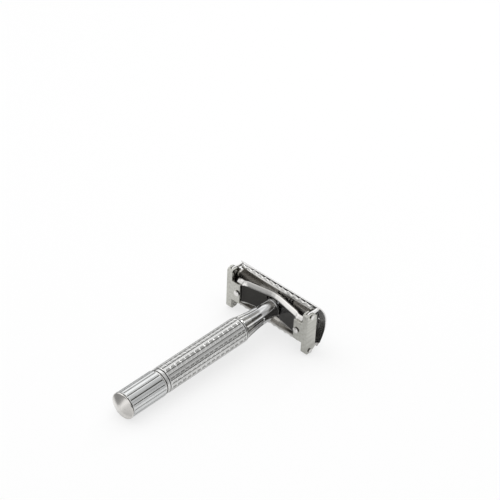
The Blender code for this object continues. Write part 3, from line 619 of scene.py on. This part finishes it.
# Millimetres from one bridge to the next, close together in the same way.
bridge_stops = np.array([0.0, 0.28, 0.38, 0.48, 0.8, 1.281, 1.762, 2.082, 2.182, 2.282])
bridge_rows = (bridge_stops + BRIDGE_AT + BRIDGE_PITCH * np.arange(-6, 13)[:, None]).ravel()
inner_rows = (bridge_rows > GRIP_LOW + 0.85) & (bridge_rows < GRIP_HIGH - 0.85)
end_rows = np.array([0.15, 0.3, 0.45, 0.6, 0.75])
grip_side = np.concatenate([
    GRIP_LOW + end_rows, bridge_rows[inner_rows], GRIP_HIGH - end_rows[::-1],
])
grip_outline = np.concatenate([
    [[GRIP_BORE_R, GRIP_LOW], [5.1, GRIP_LOW]],
    np.stack([np.full(len(grip_side), GRIP_R), grip_side], -1),
    [[5.1, GRIP_HIGH], [GRIP_BORE_R, GRIP_HIGH]],
])
print("grid of the grip:", len(grip_outline), "rows and", len(grip_turns), "columns")

# %% Grip metal and piece
CUT_PITCH, CUT_DEPTH_M = 0.85, 0.00008


# Painted shade, with dirt: grooves and pockets, and a little the cut stripe, are darkened in the base
# colour.
def grip_dirt_and_shade(x, y, z, spot):
    """Dirt and painted shade in grooves and pockets, in patches: full up to 5 mm from the axis, none
    from 5.31 mm.
    """
    reach = distance_from_axis(x, y)
    patchy = rubbed(spot, 260.0) * 0.3 + 0.75
    return (1.0 - reach.smooth(5.0, 5.31)) * 0.9 * patchy


def fine_cuts(x, y, spot):
    """Crosswise cuts: height = sin(2 pi distance along the handle / pitch)."""
    return spot.maths("SINE", spot.dot(ALONG) * (2000.0 * np.pi / CUT_PITCH)), CUT_DEPTH_M


grip_light, grip_dark = (0.82, 0.82, 0.81), (0.10, 0.10, 0.09)
grip_metal = plated(
    "grip_plating", grip_light, grip_dark, 0.17, grip_dirt_and_shade, bump=0.3, ripple=fine_cuts,
)
grid_piece(
    "grip_knurled", turned(grip_outline, grip_turns, grip_relief), "handle",
    grip_metal, ["grip_sleeve"],
)

# %% [markdown]
# ## The fluted neck
#
# Above the collar the tube narrows to the head, with the flutes running up it and a thin bead
# near its top. There the head's slot splits it into two prongs that carry the guard. The slot
# could be cut out with a boolean, but each prong is simple enough to draw: part of a ring
# between the slot's wall and the tube's outside.

# %% Neck surface
NECK_LOW, SPLIT_AT, NECK_BORE_R = 67.4, 81.8, 2.7
BEAD_AT, BEAD_HALF_WIDTH, BEAD_HEIGHT = 81.35, 0.4, 0.1
neck_z = np.linspace(NECK_LOW, SPLIT_AT, 170)
neck_places = [NECK_LOW, 68.4, 70.5, 73.0, 80.9, 82.0]
neck_r = np.interp(neck_z, neck_places, [4.42, 4.24, 4.02, 3.84, 3.74, 3.74])
bead = np.clip(1 - ((neck_z - BEAD_AT) / BEAD_HALF_WIDTH) ** 2, 0.0, 1.0)
neck_outline = np.concatenate([
    [[NECK_BORE_R, NECK_LOW], [4.1, NECK_LOW]],
    np.stack([neck_r + BEAD_HEIGHT * bead, neck_z], -1),
    [[NECK_BORE_R, SPLIT_AT]],
])
neck_metal = plated("neck_plating", (0.67, 0.675, 0.68), SHADOW, 0.08, flute_painted_shade)
fluted_piece("neck_fluted", neck_outline, neck_metal, "neck_barrel")

# %% The two prongs
PRONG_R, SLOT_WALL_X, PRONG_TOP = 3.75, 2.2, 87.1


def prong(side):
    """Arc of the outside, then the arc of the bore back: both from the slot's wall, x = 2.2."""
    outer_turn = np.arccos(SLOT_WALL_X / PRONG_R)
    inner_turn = np.arccos(SLOT_WALL_X / NECK_BORE_R)
    outer = np.linspace(-outer_turn, outer_turn, 24)
    inner = np.linspace(inner_turn, -inner_turn, 12)
    x = np.concatenate([PRONG_R * np.cos(outer), NECK_BORE_R * np.cos(inner)]) * side
    y = np.concatenate([PRONG_R * np.sin(outer), NECK_BORE_R * np.sin(inner)])
    heights = np.linspace(SPLIT_AT, PRONG_TOP, 12)
    return np.array([np.stack([x, y, np.full(len(x), z)], -1) for z in heights])


for side, label in ((1, "lower"), (-1, "upper")):
    grid_piece(f"neck_prong_{label}", prong(side), "handle", neck_metal, ring=False)

# %% [markdown]
# ## The bend of the blade
#
# The head is built round a thin blade that is bent over the guard. Its curve could be an arc of
# a circle, but a parabola stays within 0.2 mm of it and is easier to write. The guard under it
# and the doors over it follow from the same curve.

# %% One curve for the whole head
BLADE_Z, BLADE_HALF, BLADE_DROP = 88.7, 9.85, 4.2


def blade_height(x):
    """Middle of the bent blade: a parabola that drops 4.2 mm at the cutting edge."""
    return BLADE_Z - BLADE_DROP / BLADE_HALF**2 * x**2


print("cutting edge at", round(blade_height(BLADE_HALF), 2), "mm, middle at", BLADE_Z, "mm")

# %% [markdown]
# ## The guard
#
# The guard is one arched plate with a thick bar on each long side. The bars are scalloped, so
# that soap runs through and the skin is held flat. Cutting the scoops out with cylinders would
# leave sharp rims. Here the section is a closed outline, and along the blade the outer points
# of the bar draw in and out, which leaves the rims soft.

# %% Guard surface
SCALLOPS, SCALLOP_DEPTH = 12, 0.45
GUARD_HALF_LENGTH = 18.2
UNDER_BLADE_TOP, UNDER_BLADE_LOW = 0.35, 1.05  # the sheet's two faces, from the blade's middle
arch_x = np.linspace(0.0, 8.6, 14)
guard_top = np.stack([arch_x, blade_height(arch_x) - UNDER_BLADE_TOP], -1)
guard_bar = np.array([
    [8.72, 84.9], [8.95, 84.55], [9.4, 84.28], [9.9, 84.2], [10.25, 84.08], [10.43, 83.9],
    [10.5, 83.7], [10.48, 83.42], [10.32, 83.15], [9.95, 83.02], [9.1, 83.0], [8.8, 83.08],
    [8.62, 83.4], [8.57, 84.0],
])
under_x = arch_x[::-1] - 0.1
guard_under = np.stack([under_x, blade_height(under_x) - UNDER_BLADE_LOW], -1)
guard_under[-1, 0] = 0.0
guard_half = np.concatenate([guard_top[1:-1], guard_bar, guard_under[1:]])
guard_all = np.concatenate([guard_half, (guard_half * [-1, 1])[::-1][1:], [guard_top[0]]])


def guard_section(y):
    """The outer face of the bar draws in by 0.45 mm in the middle of each scoop."""
    place = np.mod((y + GUARD_HALF_LENGTH) / (2 * GUARD_HALF_LENGTH / SCALLOPS), 1.0)
    scoop = np.clip(1 - ((place - 0.5) / 0.40) ** 2, 0.0, 1.0) ** 0.6
    x, z = guard_all.T
    outer = step_up(np.abs(x), 9.5, 10.4)
    return np.stack([x - np.sign(x) * SCALLOP_DEPTH * scoop * outer, z], -1)


def guard_grime(x, y, z, spot):
    """Soap film on the arch, up to 8.8 mm from the middle, and clean bright bars from 9.4 mm on."""
    return (1.0 - x.maths("ABSOLUTE", x).smooth(8.8, 9.4)) * 0.55


guard_ys = np.linspace(-GUARD_HALF_LENGTH, GUARD_HALF_LENGTH, SCALLOPS * 16 + 1)
guard_metal = plated("guard_plating", (0.82, 0.81, 0.79), (0.20, 0.18, 0.15), 0.1, guard_grime)
guard = grid_piece(
    "guard_scalloped", swept(guard_section, guard_ys), "handle", guard_metal,
    ["guard_plate"], ring=False,
)

# %% [markdown]
# ## Slots in a plate
#
# Soap drains through slots in the guard, the prongs pass through windows in the crossbar, and
# the blade has its own long slot. Holes don't fit into a grid of rows and columns, so here the
# boolean is the right tool: each slot is a small solid that is taken out, and the result is
# kept as a plain mesh.


# %% Cut slots out of a piece
def cut(piece, tools, name):
    """Take the tools' shapes out of the piece, and keep the result as its mesh."""
    points = np.concatenate([tool.reshape(-1, 3) for tool in tools])
    faces, first = [], 0
    for tool in tools:
        faces += [[first + v for v in face] for face in grid_faces(*tool.shape[:2], False)]
        first += tool.shape[0] * tool.shape[1]
    cutter = add_object(name, closed_mesh(name, points, faces))
    step = piece.modifiers.new(name, "BOOLEAN")
    step.operation = "DIFFERENCE"
    step.solver = "EXACT"
    step.object = cutter
    bpy.context.view_layer.update()
    view = bpy.context.evaluated_depsgraph_get()
    shaped = bpy.data.meshes.new_from_object(piece.evaluated_get(view))
    piece.modifiers.remove(step)
    piece.data = shaped
    bpy.data.objects.remove(cutter)
    shaped.set_sharp_from_angle(angle=CREASE)
    print(f"{piece.name}: {len(tools)} cuts, {len(shaped.polygons)} faces")


def stadium(centre, half_long, half_wide, low, high, steps=8):
    """Slot cutter: a rectangle with round ends along y, from low to high."""
    turn = np.linspace(0.0, np.pi, steps)
    x = np.concatenate([half_wide * np.cos(turn), -half_wide * np.cos(turn)]) + centre[0]
    reach = half_long - half_wide
    y = np.concatenate([reach + half_wide * np.sin(turn), -reach - half_wide * np.sin(turn)])
    return np.array([np.stack([x, y + centre[1], np.full(len(x), z)], -1) for z in (low, high)])


# %% The guard's drain slots
DRAIN_X, DRAIN_PITCH, DRAIN_HALF_LONG, DRAIN_HALF_WIDE = 6.95, 8.4, 3.1, 0.75
drain_centres = [(s * DRAIN_X, (k - 1.5) * DRAIN_PITCH) for k in range(4) for s in (-1, 1)]
drains = [stadium(c, DRAIN_HALF_LONG, DRAIN_HALF_WIDE, 80.0, 92.0) for c in drain_centres]
cut(guard, drains, "drain_slots")

# %% [markdown]
# ## The guard's cheeks
#
# At both ends the guard's sheet is folded down into a cheek with two round corners. Bending the
# plate's own mesh would be the faithful way, but the fold is a tight corner, so a flat plate that
# meets the arch from below looks the same and is far simpler.

# %% Cheeks folded down at the guard's ends
CHEEK_HALF, CHEEK_LOW, CHEEK_TOP = 7.8, heights_along("guard_plate")[0], 84.0
cheek_x = np.linspace(CHEEK_HALF, -CHEEK_HALF, 25)
mid_sheet = (UNDER_BLADE_TOP + UNDER_BLADE_LOW) / 2
cheek_arch = np.stack([cheek_x, blade_height(cheek_x) - mid_sheet], -1)
cheek_corners = [
    [-CHEEK_HALF, CHEEK_TOP], [-CHEEK_HALF, CHEEK_LOW], [CHEEK_HALF, CHEEK_LOW],
    [CHEEK_HALF, CHEEK_TOP],
]
cheek_foot = eased(cheek_corners, [0.0, 1.0, 1.0, 0.0], 6)
cheek_outline = np.concatenate([cheek_foot[6:-6], cheek_arch])
cheek_rows = GUARD_HALF_LENGTH - np.array([0.8, 0.7, 0.1, 0.0])
for end, label in ((1, "left"), (-1, "right")):
    grid_piece(
        f"guard_cheek_{label}", swept(lambda y: cheek_outline, np.sort(end * cheek_rows)),
        "handle", guard_metal, ring=False,
    )

# %% [markdown]
# ## The crossbar
#
# The crossbar joins the two ends of the head. It is pressed from sheet with a flat middle and
# slanted flanks, and it bows toward the handle at both ends like a gull's wing. Screwing the
# knob slides it up and down the neck's prongs. A flat bar bent by a lattice would do, but here
# the section simply sinks by a height that is read off along the blade.

# %% Crossbar surface
BAR_HALF_LENGTH, BAR_Z = 17.1, 82.5
wing_y = [0.0, 1.8, 3.5, 5.2, 12.2, 13.1, 14.1, 14.6, BAR_HALF_LENGTH]
wing_drop = [0.0, 0.1, 0.36, 0.7, 2.14, 2.42, 3.1, 3.2, 3.2]
bar_low = [[0.0, 0.0], [2.0, 0.0], [3.75, 0.0], [4.12, 0.06], [4.5, 0.36], [5.35, 1.1], [5.52, 1.3]]
bar_edge = [[5.6, 1.6], [5.57, 1.95], [5.42, 2.1]]
bar_high = [[5.2, 1.92], [4.5, 1.32], [3.98, 0.88], [3.7, 0.8], [2.0, 0.8], [0.0, 0.8]]
bar_half = fine(bar_low + bar_edge + bar_high, 0.5)[:-1]
bar_all = np.concatenate([bar_half, (bar_half * [-1, 1])[::-1][1:-1]])


def crossbar_section(y):
    """The same section all along, lowered by the gull wing."""
    return bar_all + [0.0, BAR_Z - np.interp(abs(y), wing_y, wing_drop)]


# Painted shade: the crossbar's flat underside is painted nearly black.
def bar_painted_shade(x, y, z, spot):
    """Painted shade and painted dark reflection: the flat underside, 3.85 mm to each side, is near
    black; the flanks are polished.
    """
    return (1.0 - x.maths("ABSOLUTE", x).smooth(3.85, 4.3)) * 0.97


# bar_dark is the nearly black colour of that painted shade, and of the specks.
bar_dark = (0.022, 0.021, 0.019)
bar_metal = plated("crossbar_plating", (0.82, 0.81, 0.79), bar_dark, 0.1, bar_painted_shade)
bar_ys = np.linspace(-BAR_HALF_LENGTH, BAR_HALF_LENGTH, 121)
crossbar = grid_piece(
    "crossbar_pressed", swept(crossbar_section, bar_ys), "carriage", bar_metal,
    ["crossbar"], ring=False,
)

# %% Windows for the prongs
WINDOW_X, WINDOW_HALF_LONG, WINDOW_HALF_WIDE = 2.975, 3.5, 1.075
windows = [
    stadium((s * WINDOW_X, 0.0), WINDOW_HALF_LONG, WINDOW_HALF_WIDE, 80.0, 86.0, 6)
    for s in (-1, 1)
]
cut(crossbar, windows, "prong_windows")

# %% [markdown]
# ## The doors
#
# Two curved covers meet over the blade and press it down on the guard. Each is a strip of sheet
# bent to a shallow arc, with an ear at both ends that hangs on the hinge pins. One solid for
# cover and ears would need a boolean. Three swept pieces that overlap look the same, and ride
# on the same body.

# %% Sections of cover and ear
DOOR_TOP, DOOR_HALF, DOOR_THICK, SEAM_X = 89.5, 9.4, 0.6, 0.2
DOOR_CURVE = (DOOR_TOP - (blade_height(DOOR_HALF) + 0.35)) / DOOR_HALF**2
PIN_X, PIN_Z, EYE_R = 8.4, 80.5, 1.2


def door_section(side):
    """Arc of sheet 0.6 mm thick with rounded edges: z falls with the square of x."""
    x = np.linspace(SEAM_X, DOOR_HALF, 30)
    under = np.stack([x, DOOR_TOP - DOOR_CURVE * x**2], -1)
    outline = eased(np.concatenate([under, under[::-1] + [0.0, DOOR_THICK]]), 0.2, 3)
    return outline * [side, 1]


def ear_section(side):
    """Narrow arm down from the cover, and a little over half a circle round the hinge pin."""
    turn = np.pi * (0.08 - 1.12 * np.linspace(0.0, 1.0, 24))
    eye = np.stack([PIN_X + EYE_R * np.cos(turn), PIN_Z + EYE_R * np.sin(turn)], -1)
    arm = np.array([[8.1, 85.9], [9.25, 85.6], [9.25, 83.2], [9.32, 82.2]])
    neck_inside = np.array([[7.62, 82.2], [8.1, 83.2]])
    return np.concatenate([arm, eye, neck_inside]) * [side, 1]


print("the covers reach", round(DOOR_TOP + DOOR_THICK, 2), "mm at the seam")

# %% Covers and ears
DOOR_HALF_LENGTH, DOOR_END = 20.9, 0.3
door_metal = plated("door_plating", (0.82, 0.81, 0.80), SHADOW, 0.06, scratch=0.8)
door_ends = DOOR_HALF_LENGTH - DOOR_END + DOOR_END * np.sin(np.linspace(0.0, np.pi / 2, 4))
door_ys = np.concatenate([-door_ends[::-1], np.linspace(-20.5, 20.5, 40), door_ends])
ear_rows = np.array([19.6, 19.72, 20.18, 20.3])
for side, level in ((1, "lower"), (-1, "upper")):
    body = f"door_{level}"
    grid_piece(
        f"door_cover_{level}", swept(lambda y: door_section(side), door_ys), body,
        door_metal, [f"door_{level}"], ring=False,
    )
    for end, label in ((1, "left"), (-1, "right")):
        grid_piece(
            f"door_ear_{level}_{label}", swept(lambda y: ear_section(side), np.sort(end * ear_rows)),
            body, door_metal, ring=False,
        )

# %% [markdown]
# ## Brackets, pins and the small pieces
#
# The end brackets and the small fastenings already have their true shape in the solid model.
# They could be drawn again as grids, but what they lack is only a rounded edge. So each is a
# copy whose loose triangles are merged and joined into flat faces, with a narrow bevel.


# %% Copy a solid and round its edges
def rounded_copy(node, body, material, width):
    """Merged copy of a node's mesh with flat faces joined and a bevel of this width in mm."""
    mesh = frame["nodes"][node].data.copy()
    work = bmesh.new()
    work.from_mesh(mesh)
    bmesh.ops.remove_doubles(work, verts=work.verts, dist=0.000001)
    flat = float(np.radians(2.0))
    bmesh.ops.dissolve_limit(work, angle_limit=flat, verts=work.verts, edges=work.edges)
    bmesh.ops.recalc_face_normals(work, faces=work.faces)
    work.to_mesh(mesh)
    work.free()
    piece = add_object(node + "_rounded", mesh)
    dress(piece, body, material, [node])
    bevel = piece.modifiers.new("edges", "BEVEL")
    bevel.width = width * MM
    bevel.segments = 2
    bevel.limit_method = "ANGLE"
    bevel.angle_limit = float(np.radians(35.0))
    bevel.harden_normals = True


# %% Brackets, pins, rivets and rail
def drawn_streaks(x, y, z, spot):
    """Dull streaks that run along the handle: noise twelve times longer that way than across."""
    drawn = spot.node("ShaderNodeCombineXYZ", {}, {0: x, 1: y, 2: z * 0.08})
    return rubbed(drawn, 1.1).smooth(0.36, 0.70) * 0.34


bracket_light, bracket_dark = (0.57, 0.57, 0.53), (0.2, 0.19, 0.17)
bracket_metal = plated("bracket_plating", bracket_light, bracket_dark, 0.11, drawn_streaks)
polished = (0.80, 0.79, 0.77)
polished_plate = plated("polished_plating", polished, SHADOW, 0.05, bump=0.006, scratch=0.4)
for label in ("left", "right"):
    rounded_copy(f"end_bracket_{label}", "carriage", bracket_metal, 0.12)
for label in ("left", "right"):
    for small in (f"hinge_pin_upper_{label}", f"hinge_pin_lower_{label}", f"bracket_rivet_{label}"):
        rounded_copy(small, "carriage", polished_plate, 0.06)
rounded_copy("centre_rail", "handle", polished_plate, 0.06)

# %% [markdown]
# ## The blade
#
# With the doors open the blade shows. It is thin springy steel, bent to the guard's arch by the
# doors. Its long sides are ground to an edge, so the sheet gets thinner there, and its two ends
# are narrower, which is where fingers can hold it. A plane with a Solidify modifier would be as
# thick at the edge as in the middle, so both faces are worked out.

# %% Blade surface
TAB_HALF, SIDE_HALF_LENGTH, TAB_HALF_LENGTH = 7.8, 18.65, 21.5
SHEET_THICK, EDGE_THICK, GROUND_WIDTH = 0.1, 0.02, 0.7
SLOT_X, SLOT_Y = 1.25, 18.5


def blade_section(y):
    """Bent strip: z = parabola +- half the sheet, which thins from 0.1 mm to the ground edge."""
    half = BLADE_HALF if abs(y) <= SIDE_HALF_LENGTH else TAB_HALF
    x = np.linspace(-half, half, 61)
    from_edge = np.clip((BLADE_HALF - np.abs(x)) / GROUND_WIDTH, 0.0, 1.0)
    thick = EDGE_THICK + (SHEET_THICK - EDGE_THICK) * from_edge
    low = np.stack([x, blade_height(x) - 0.5 * thick], -1)
    high = np.stack([x, blade_height(x) + 0.5 * thick], -1)
    return np.concatenate([low, high[::-1]])


def ground_edge(x, y, z, spot):
    """Paler ground band along both edges: nothing in the middle, 0.6 at the edge."""
    return x.maths("ABSOLUTE", x).smooth(9.05, 9.25) * 0.6


blade_steel = plated("blade_steel", (0.50, 0.51, 0.52), (0.78, 0.78, 0.78), 0.2, ground_edge)
blade_end = [TAB_HALF_LENGTH, SIDE_HALF_LENGTH + 0.01, SIDE_HALF_LENGTH]
blade_ys = np.concatenate([np.negative(blade_end), np.linspace(-18.0, 18.0, 13), blade_end[::-1]])
blade = grid_piece(
    "blade_bent", swept(blade_section, blade_ys), "handle", blade_steel, ["blade"],
    ring=False,
)
slot_corners = [[-SLOT_X, -SLOT_Y], [SLOT_X, -SLOT_Y], [SLOT_X, SLOT_Y], [-SLOT_X, SLOT_Y]]
blade_slot = np.array([np.insert(slot_corners, 2, z, 1) for z in (84.0, 92.0)])
cut(blade, [blade_slot], "blade_slot")

# %% [markdown]
# ## The hidden steel pieces
#
# Screw, rod, ring and nut sit inside handle and head, where only a cut through them would show
# anything, and the washer shows no more than its edge. They could be drawn again as turned
# pieces, but their solids are good enough as they are, so they only get a metal.

# %% Metals of the hidden pieces
inner_nodes = ("drive_screw", "retaining_ring", "thrust_washer", "lift_rod", "crossbar_nut")
for node in inner_nodes:
    materials = frame["nodes"][node].data.materials
    materials.clear()
    materials.append(plain_plate if node == "thrust_washer" else steel)
print("nodes that keep their solid shape:", len(inner_nodes))

# %% [markdown]
# ## The table
#
# A polished object shows the room more than itself, and most of what it shows is the table.
# A plain white table would leave the metal without a dark line. So the paper is near white to
# the camera and pale to the metal, and gets darker far away. Beyond the knob's end lie a dark
# card and, beside it, a weaker one. Both are there for reflections only, and give the polished
# cone its dark wedges. Real cards would show in the picture; Light Path, which says what kind of
# ray asks, hides these from the camera.

# %% Table
PAPER, FAR_PAPER = (0.84, 0.84, 0.84, 1.0), (0.2, 0.2, 0.2, 1.0)


def pale_table():
    """Paper that is lit and shaded, mixed with a glow for the camera and for reflections."""
    material = bpy.data.materials.new("pale_table")
    material.use_nodes = True
    tree = material.node_tree
    shader = tree.nodes["Principled BSDF"]
    shader.inputs["Roughness"].default_value = 0.9
    start = Shade(tree)
    seen = start.node("ShaderNodeLightPath", output="Is Camera Ray")
    reflected = start.node("ShaderNodeLightPath", output="Is Glossy Ray")
    spot = start.node("ShaderNodeTexCoord", output="Object")
    away = spot.node("ShaderNodeVectorMath", {"operation": "LENGTH"}, {0: spot}, 1)
    beyond, beside = spot.dot((-1.0, 0.0, 0.0)), spot.dot((0.0, 1.0, 0.0))
    card = beyond.smooth(0.044, 0.050) * (beside - beyond * 0.25).smooth(-0.011, 0.001) * 0.95
    weak_card = beyond.smooth(0.0445, 0.0465) * (0.0 - beside).smooth(-0.005, 0.002) * 0.4
    dark = spot.maths("MAXIMUM", reflected * away.smooth(0.06, 0.30), reflected * (card + weak_card))
    dark.blend(PAPER, FAR_PAPER).into(shader.inputs["Base Color"])
    pale = seen + reflected * 0.86 - dark * 0.58
    glow = start.node("ShaderNodeEmission", {}, {"Color": pale})
    share = seen * 0.72 + reflected * 0.35
    paper = Shade(tree, shader.outputs[0])
    mixed = start.node("ShaderNodeMixShader", {}, {0: share, 1: paper, 2: glow})
    mixed.into(tree.nodes["Material Output"].inputs["Surface"])
    return material


table_mesh = bpy.data.meshes.new("table")
table_mesh.from_pydata([(-3, -3, 0), (3, -3, 0), (3, 3, 0), (-3, 3, 0)], [], [(0, 1, 2, 3)])
table_mesh.materials.append(pale_table())
table = add_object("table", table_mesh)
print("table:", table.dimensions[0], "m wide")

# %% [markdown]
# ## The room
#
# The room is a world that is bright overhead and dim at the horizon, with four soft bright
# patches in it: a low screen behind the knob, a wide screen beside the head, a window, and a
# side wall. Real planes with emission would do the same, but a patch in the world is one line:
# the dot product of the view direction with the patch's direction, made smooth. The camera
# itself sees plain white.


# %% Room
def toward(azimuth, elevation):
    """Unit direction from its angles in degrees."""
    a, e = np.radians([azimuth, elevation])
    return (float(np.cos(e) * np.cos(a)), float(np.cos(e) * np.sin(a)), float(np.sin(e)))


# name: azimuth, elevation, cosine at its edge, cosine where it is full, brightness
patches = {
    "low screen": (194, 14, 0.90, 0.98, 0.9),
    "wide screen": (112, 20, 0.72, 0.93, 0.75),
    "window": (44, 40, 0.84, 0.97, 0.66),
    "side wall": (-53, 8, 0.94, 0.99, 0.5),
}
world = bpy.data.worlds.new("room")
bpy.context.scene.world = world
world.use_nodes = True
room = world.node_tree
sky = Shade(room).node("ShaderNodeTexCoord", output="Generated")
level = sky.dot((0.0, 0.0, 1.0)).smooth(0.1, 0.9) * 0.55 + 0.16
for azimuth, elevation, edge, full, brightness in patches.values():
    level = level + sky.dot(toward(azimuth, elevation)).smooth(edge, full) * brightness
seen_sky = Shade(room).node("ShaderNodeLightPath", output="Is Camera Ray")
level = level * (1.0 - seen_sky) + seen_sky
level.into(room.nodes["Background"].inputs["Color"])
room.nodes["Background"].inputs["Strength"].default_value = 1.0
print("patches in the room:", ", ".join(patches))

# %% [markdown]
# ## The lamps
#
# A large lamp overhead lights the paper and gives the razor its soft shadow. It is hidden from
# reflections, because its sharp rectangle would show in every polished piece. A small key lamp
# at the head's side adds the few sparkling points that plated metal has.


# %% Lamps
def soft_lamp(name, place, target, size, power):
    """Rectangular area lamp that points at the target and is hidden from the camera."""
    light = bpy.data.lights.new(name, "AREA")
    light.shape = "RECTANGLE"
    light.size, light.size_y = size
    light.energy = power
    lamp = add_object(name, light)
    lamp.location = place
    lamp.rotation_euler = (Vector(target) - Vector(place)).to_track_quat("-Z", "Y").to_euler()
    lamp.visible_camera = False
    print(f"{name}: {power} W")
    return lamp


top_lamp = soft_lamp("top_lamp", (0.1, 0.1, 0.8), (0.0, 0.0, 0.0), (1.2, 0.9), 4.0)
top_lamp.visible_glossy = False
soft_lamp("key_lamp", (0.69, 0.15, 0.38), (0.0, 0.0, 0.0), (0.12, 0.12), 0.35)

# %% [markdown]
# ## The camera
#
# The camera looks down at about 35 degrees through a long lens, from beyond the knob and to one
# side. It could be turned by three angles, but its place and its three directions are given in
# the upright frame instead, so they stay right however the razor lies.

# %% Camera
CAMERA_PLACE = (-456.083, -360.269, -337.885)
RIGHTWARD = (-0.034128, -0.728957, 0.683708)
DOWNWARD = (0.789904, -0.438783, -0.428393)
FORWARD = (0.61228, 0.525444, 0.590781)
FOCAL_PIXELS, IMAGE_PIXELS, SENSOR_MM = 1830.9, 500, 36.0
axes = np.stack([DOWN, SIDE, ALONG])
right, low, ahead = (Vector(np.array(v) @ axes) for v in (RIGHTWARD, DOWNWARD, FORWARD))
camera_data = bpy.data.cameras.new("camera")
camera_data.sensor_width = SENSOR_MM
camera_data.lens = FOCAL_PIXELS / IMAGE_PIXELS * SENSOR_MM
camera_data.clip_start = 0.01
camera = add_object("camera", camera_data)
turned_camera = Matrix((right, -low, -ahead)).transposed().to_4x4()
camera.matrix_world = Matrix.Translation(lay(CAMERA_PLACE)) @ turned_camera
bpy.context.scene.camera = camera
bpy.context.scene.view_settings.view_transform = "Standard"
print("lens", round(camera_data.lens, 1), "mm")

# %% [markdown]
# ## The dressed razor's size
#
# The dressed razor has to be as large as its solid model, or it would no longer fit what the
# model fits.
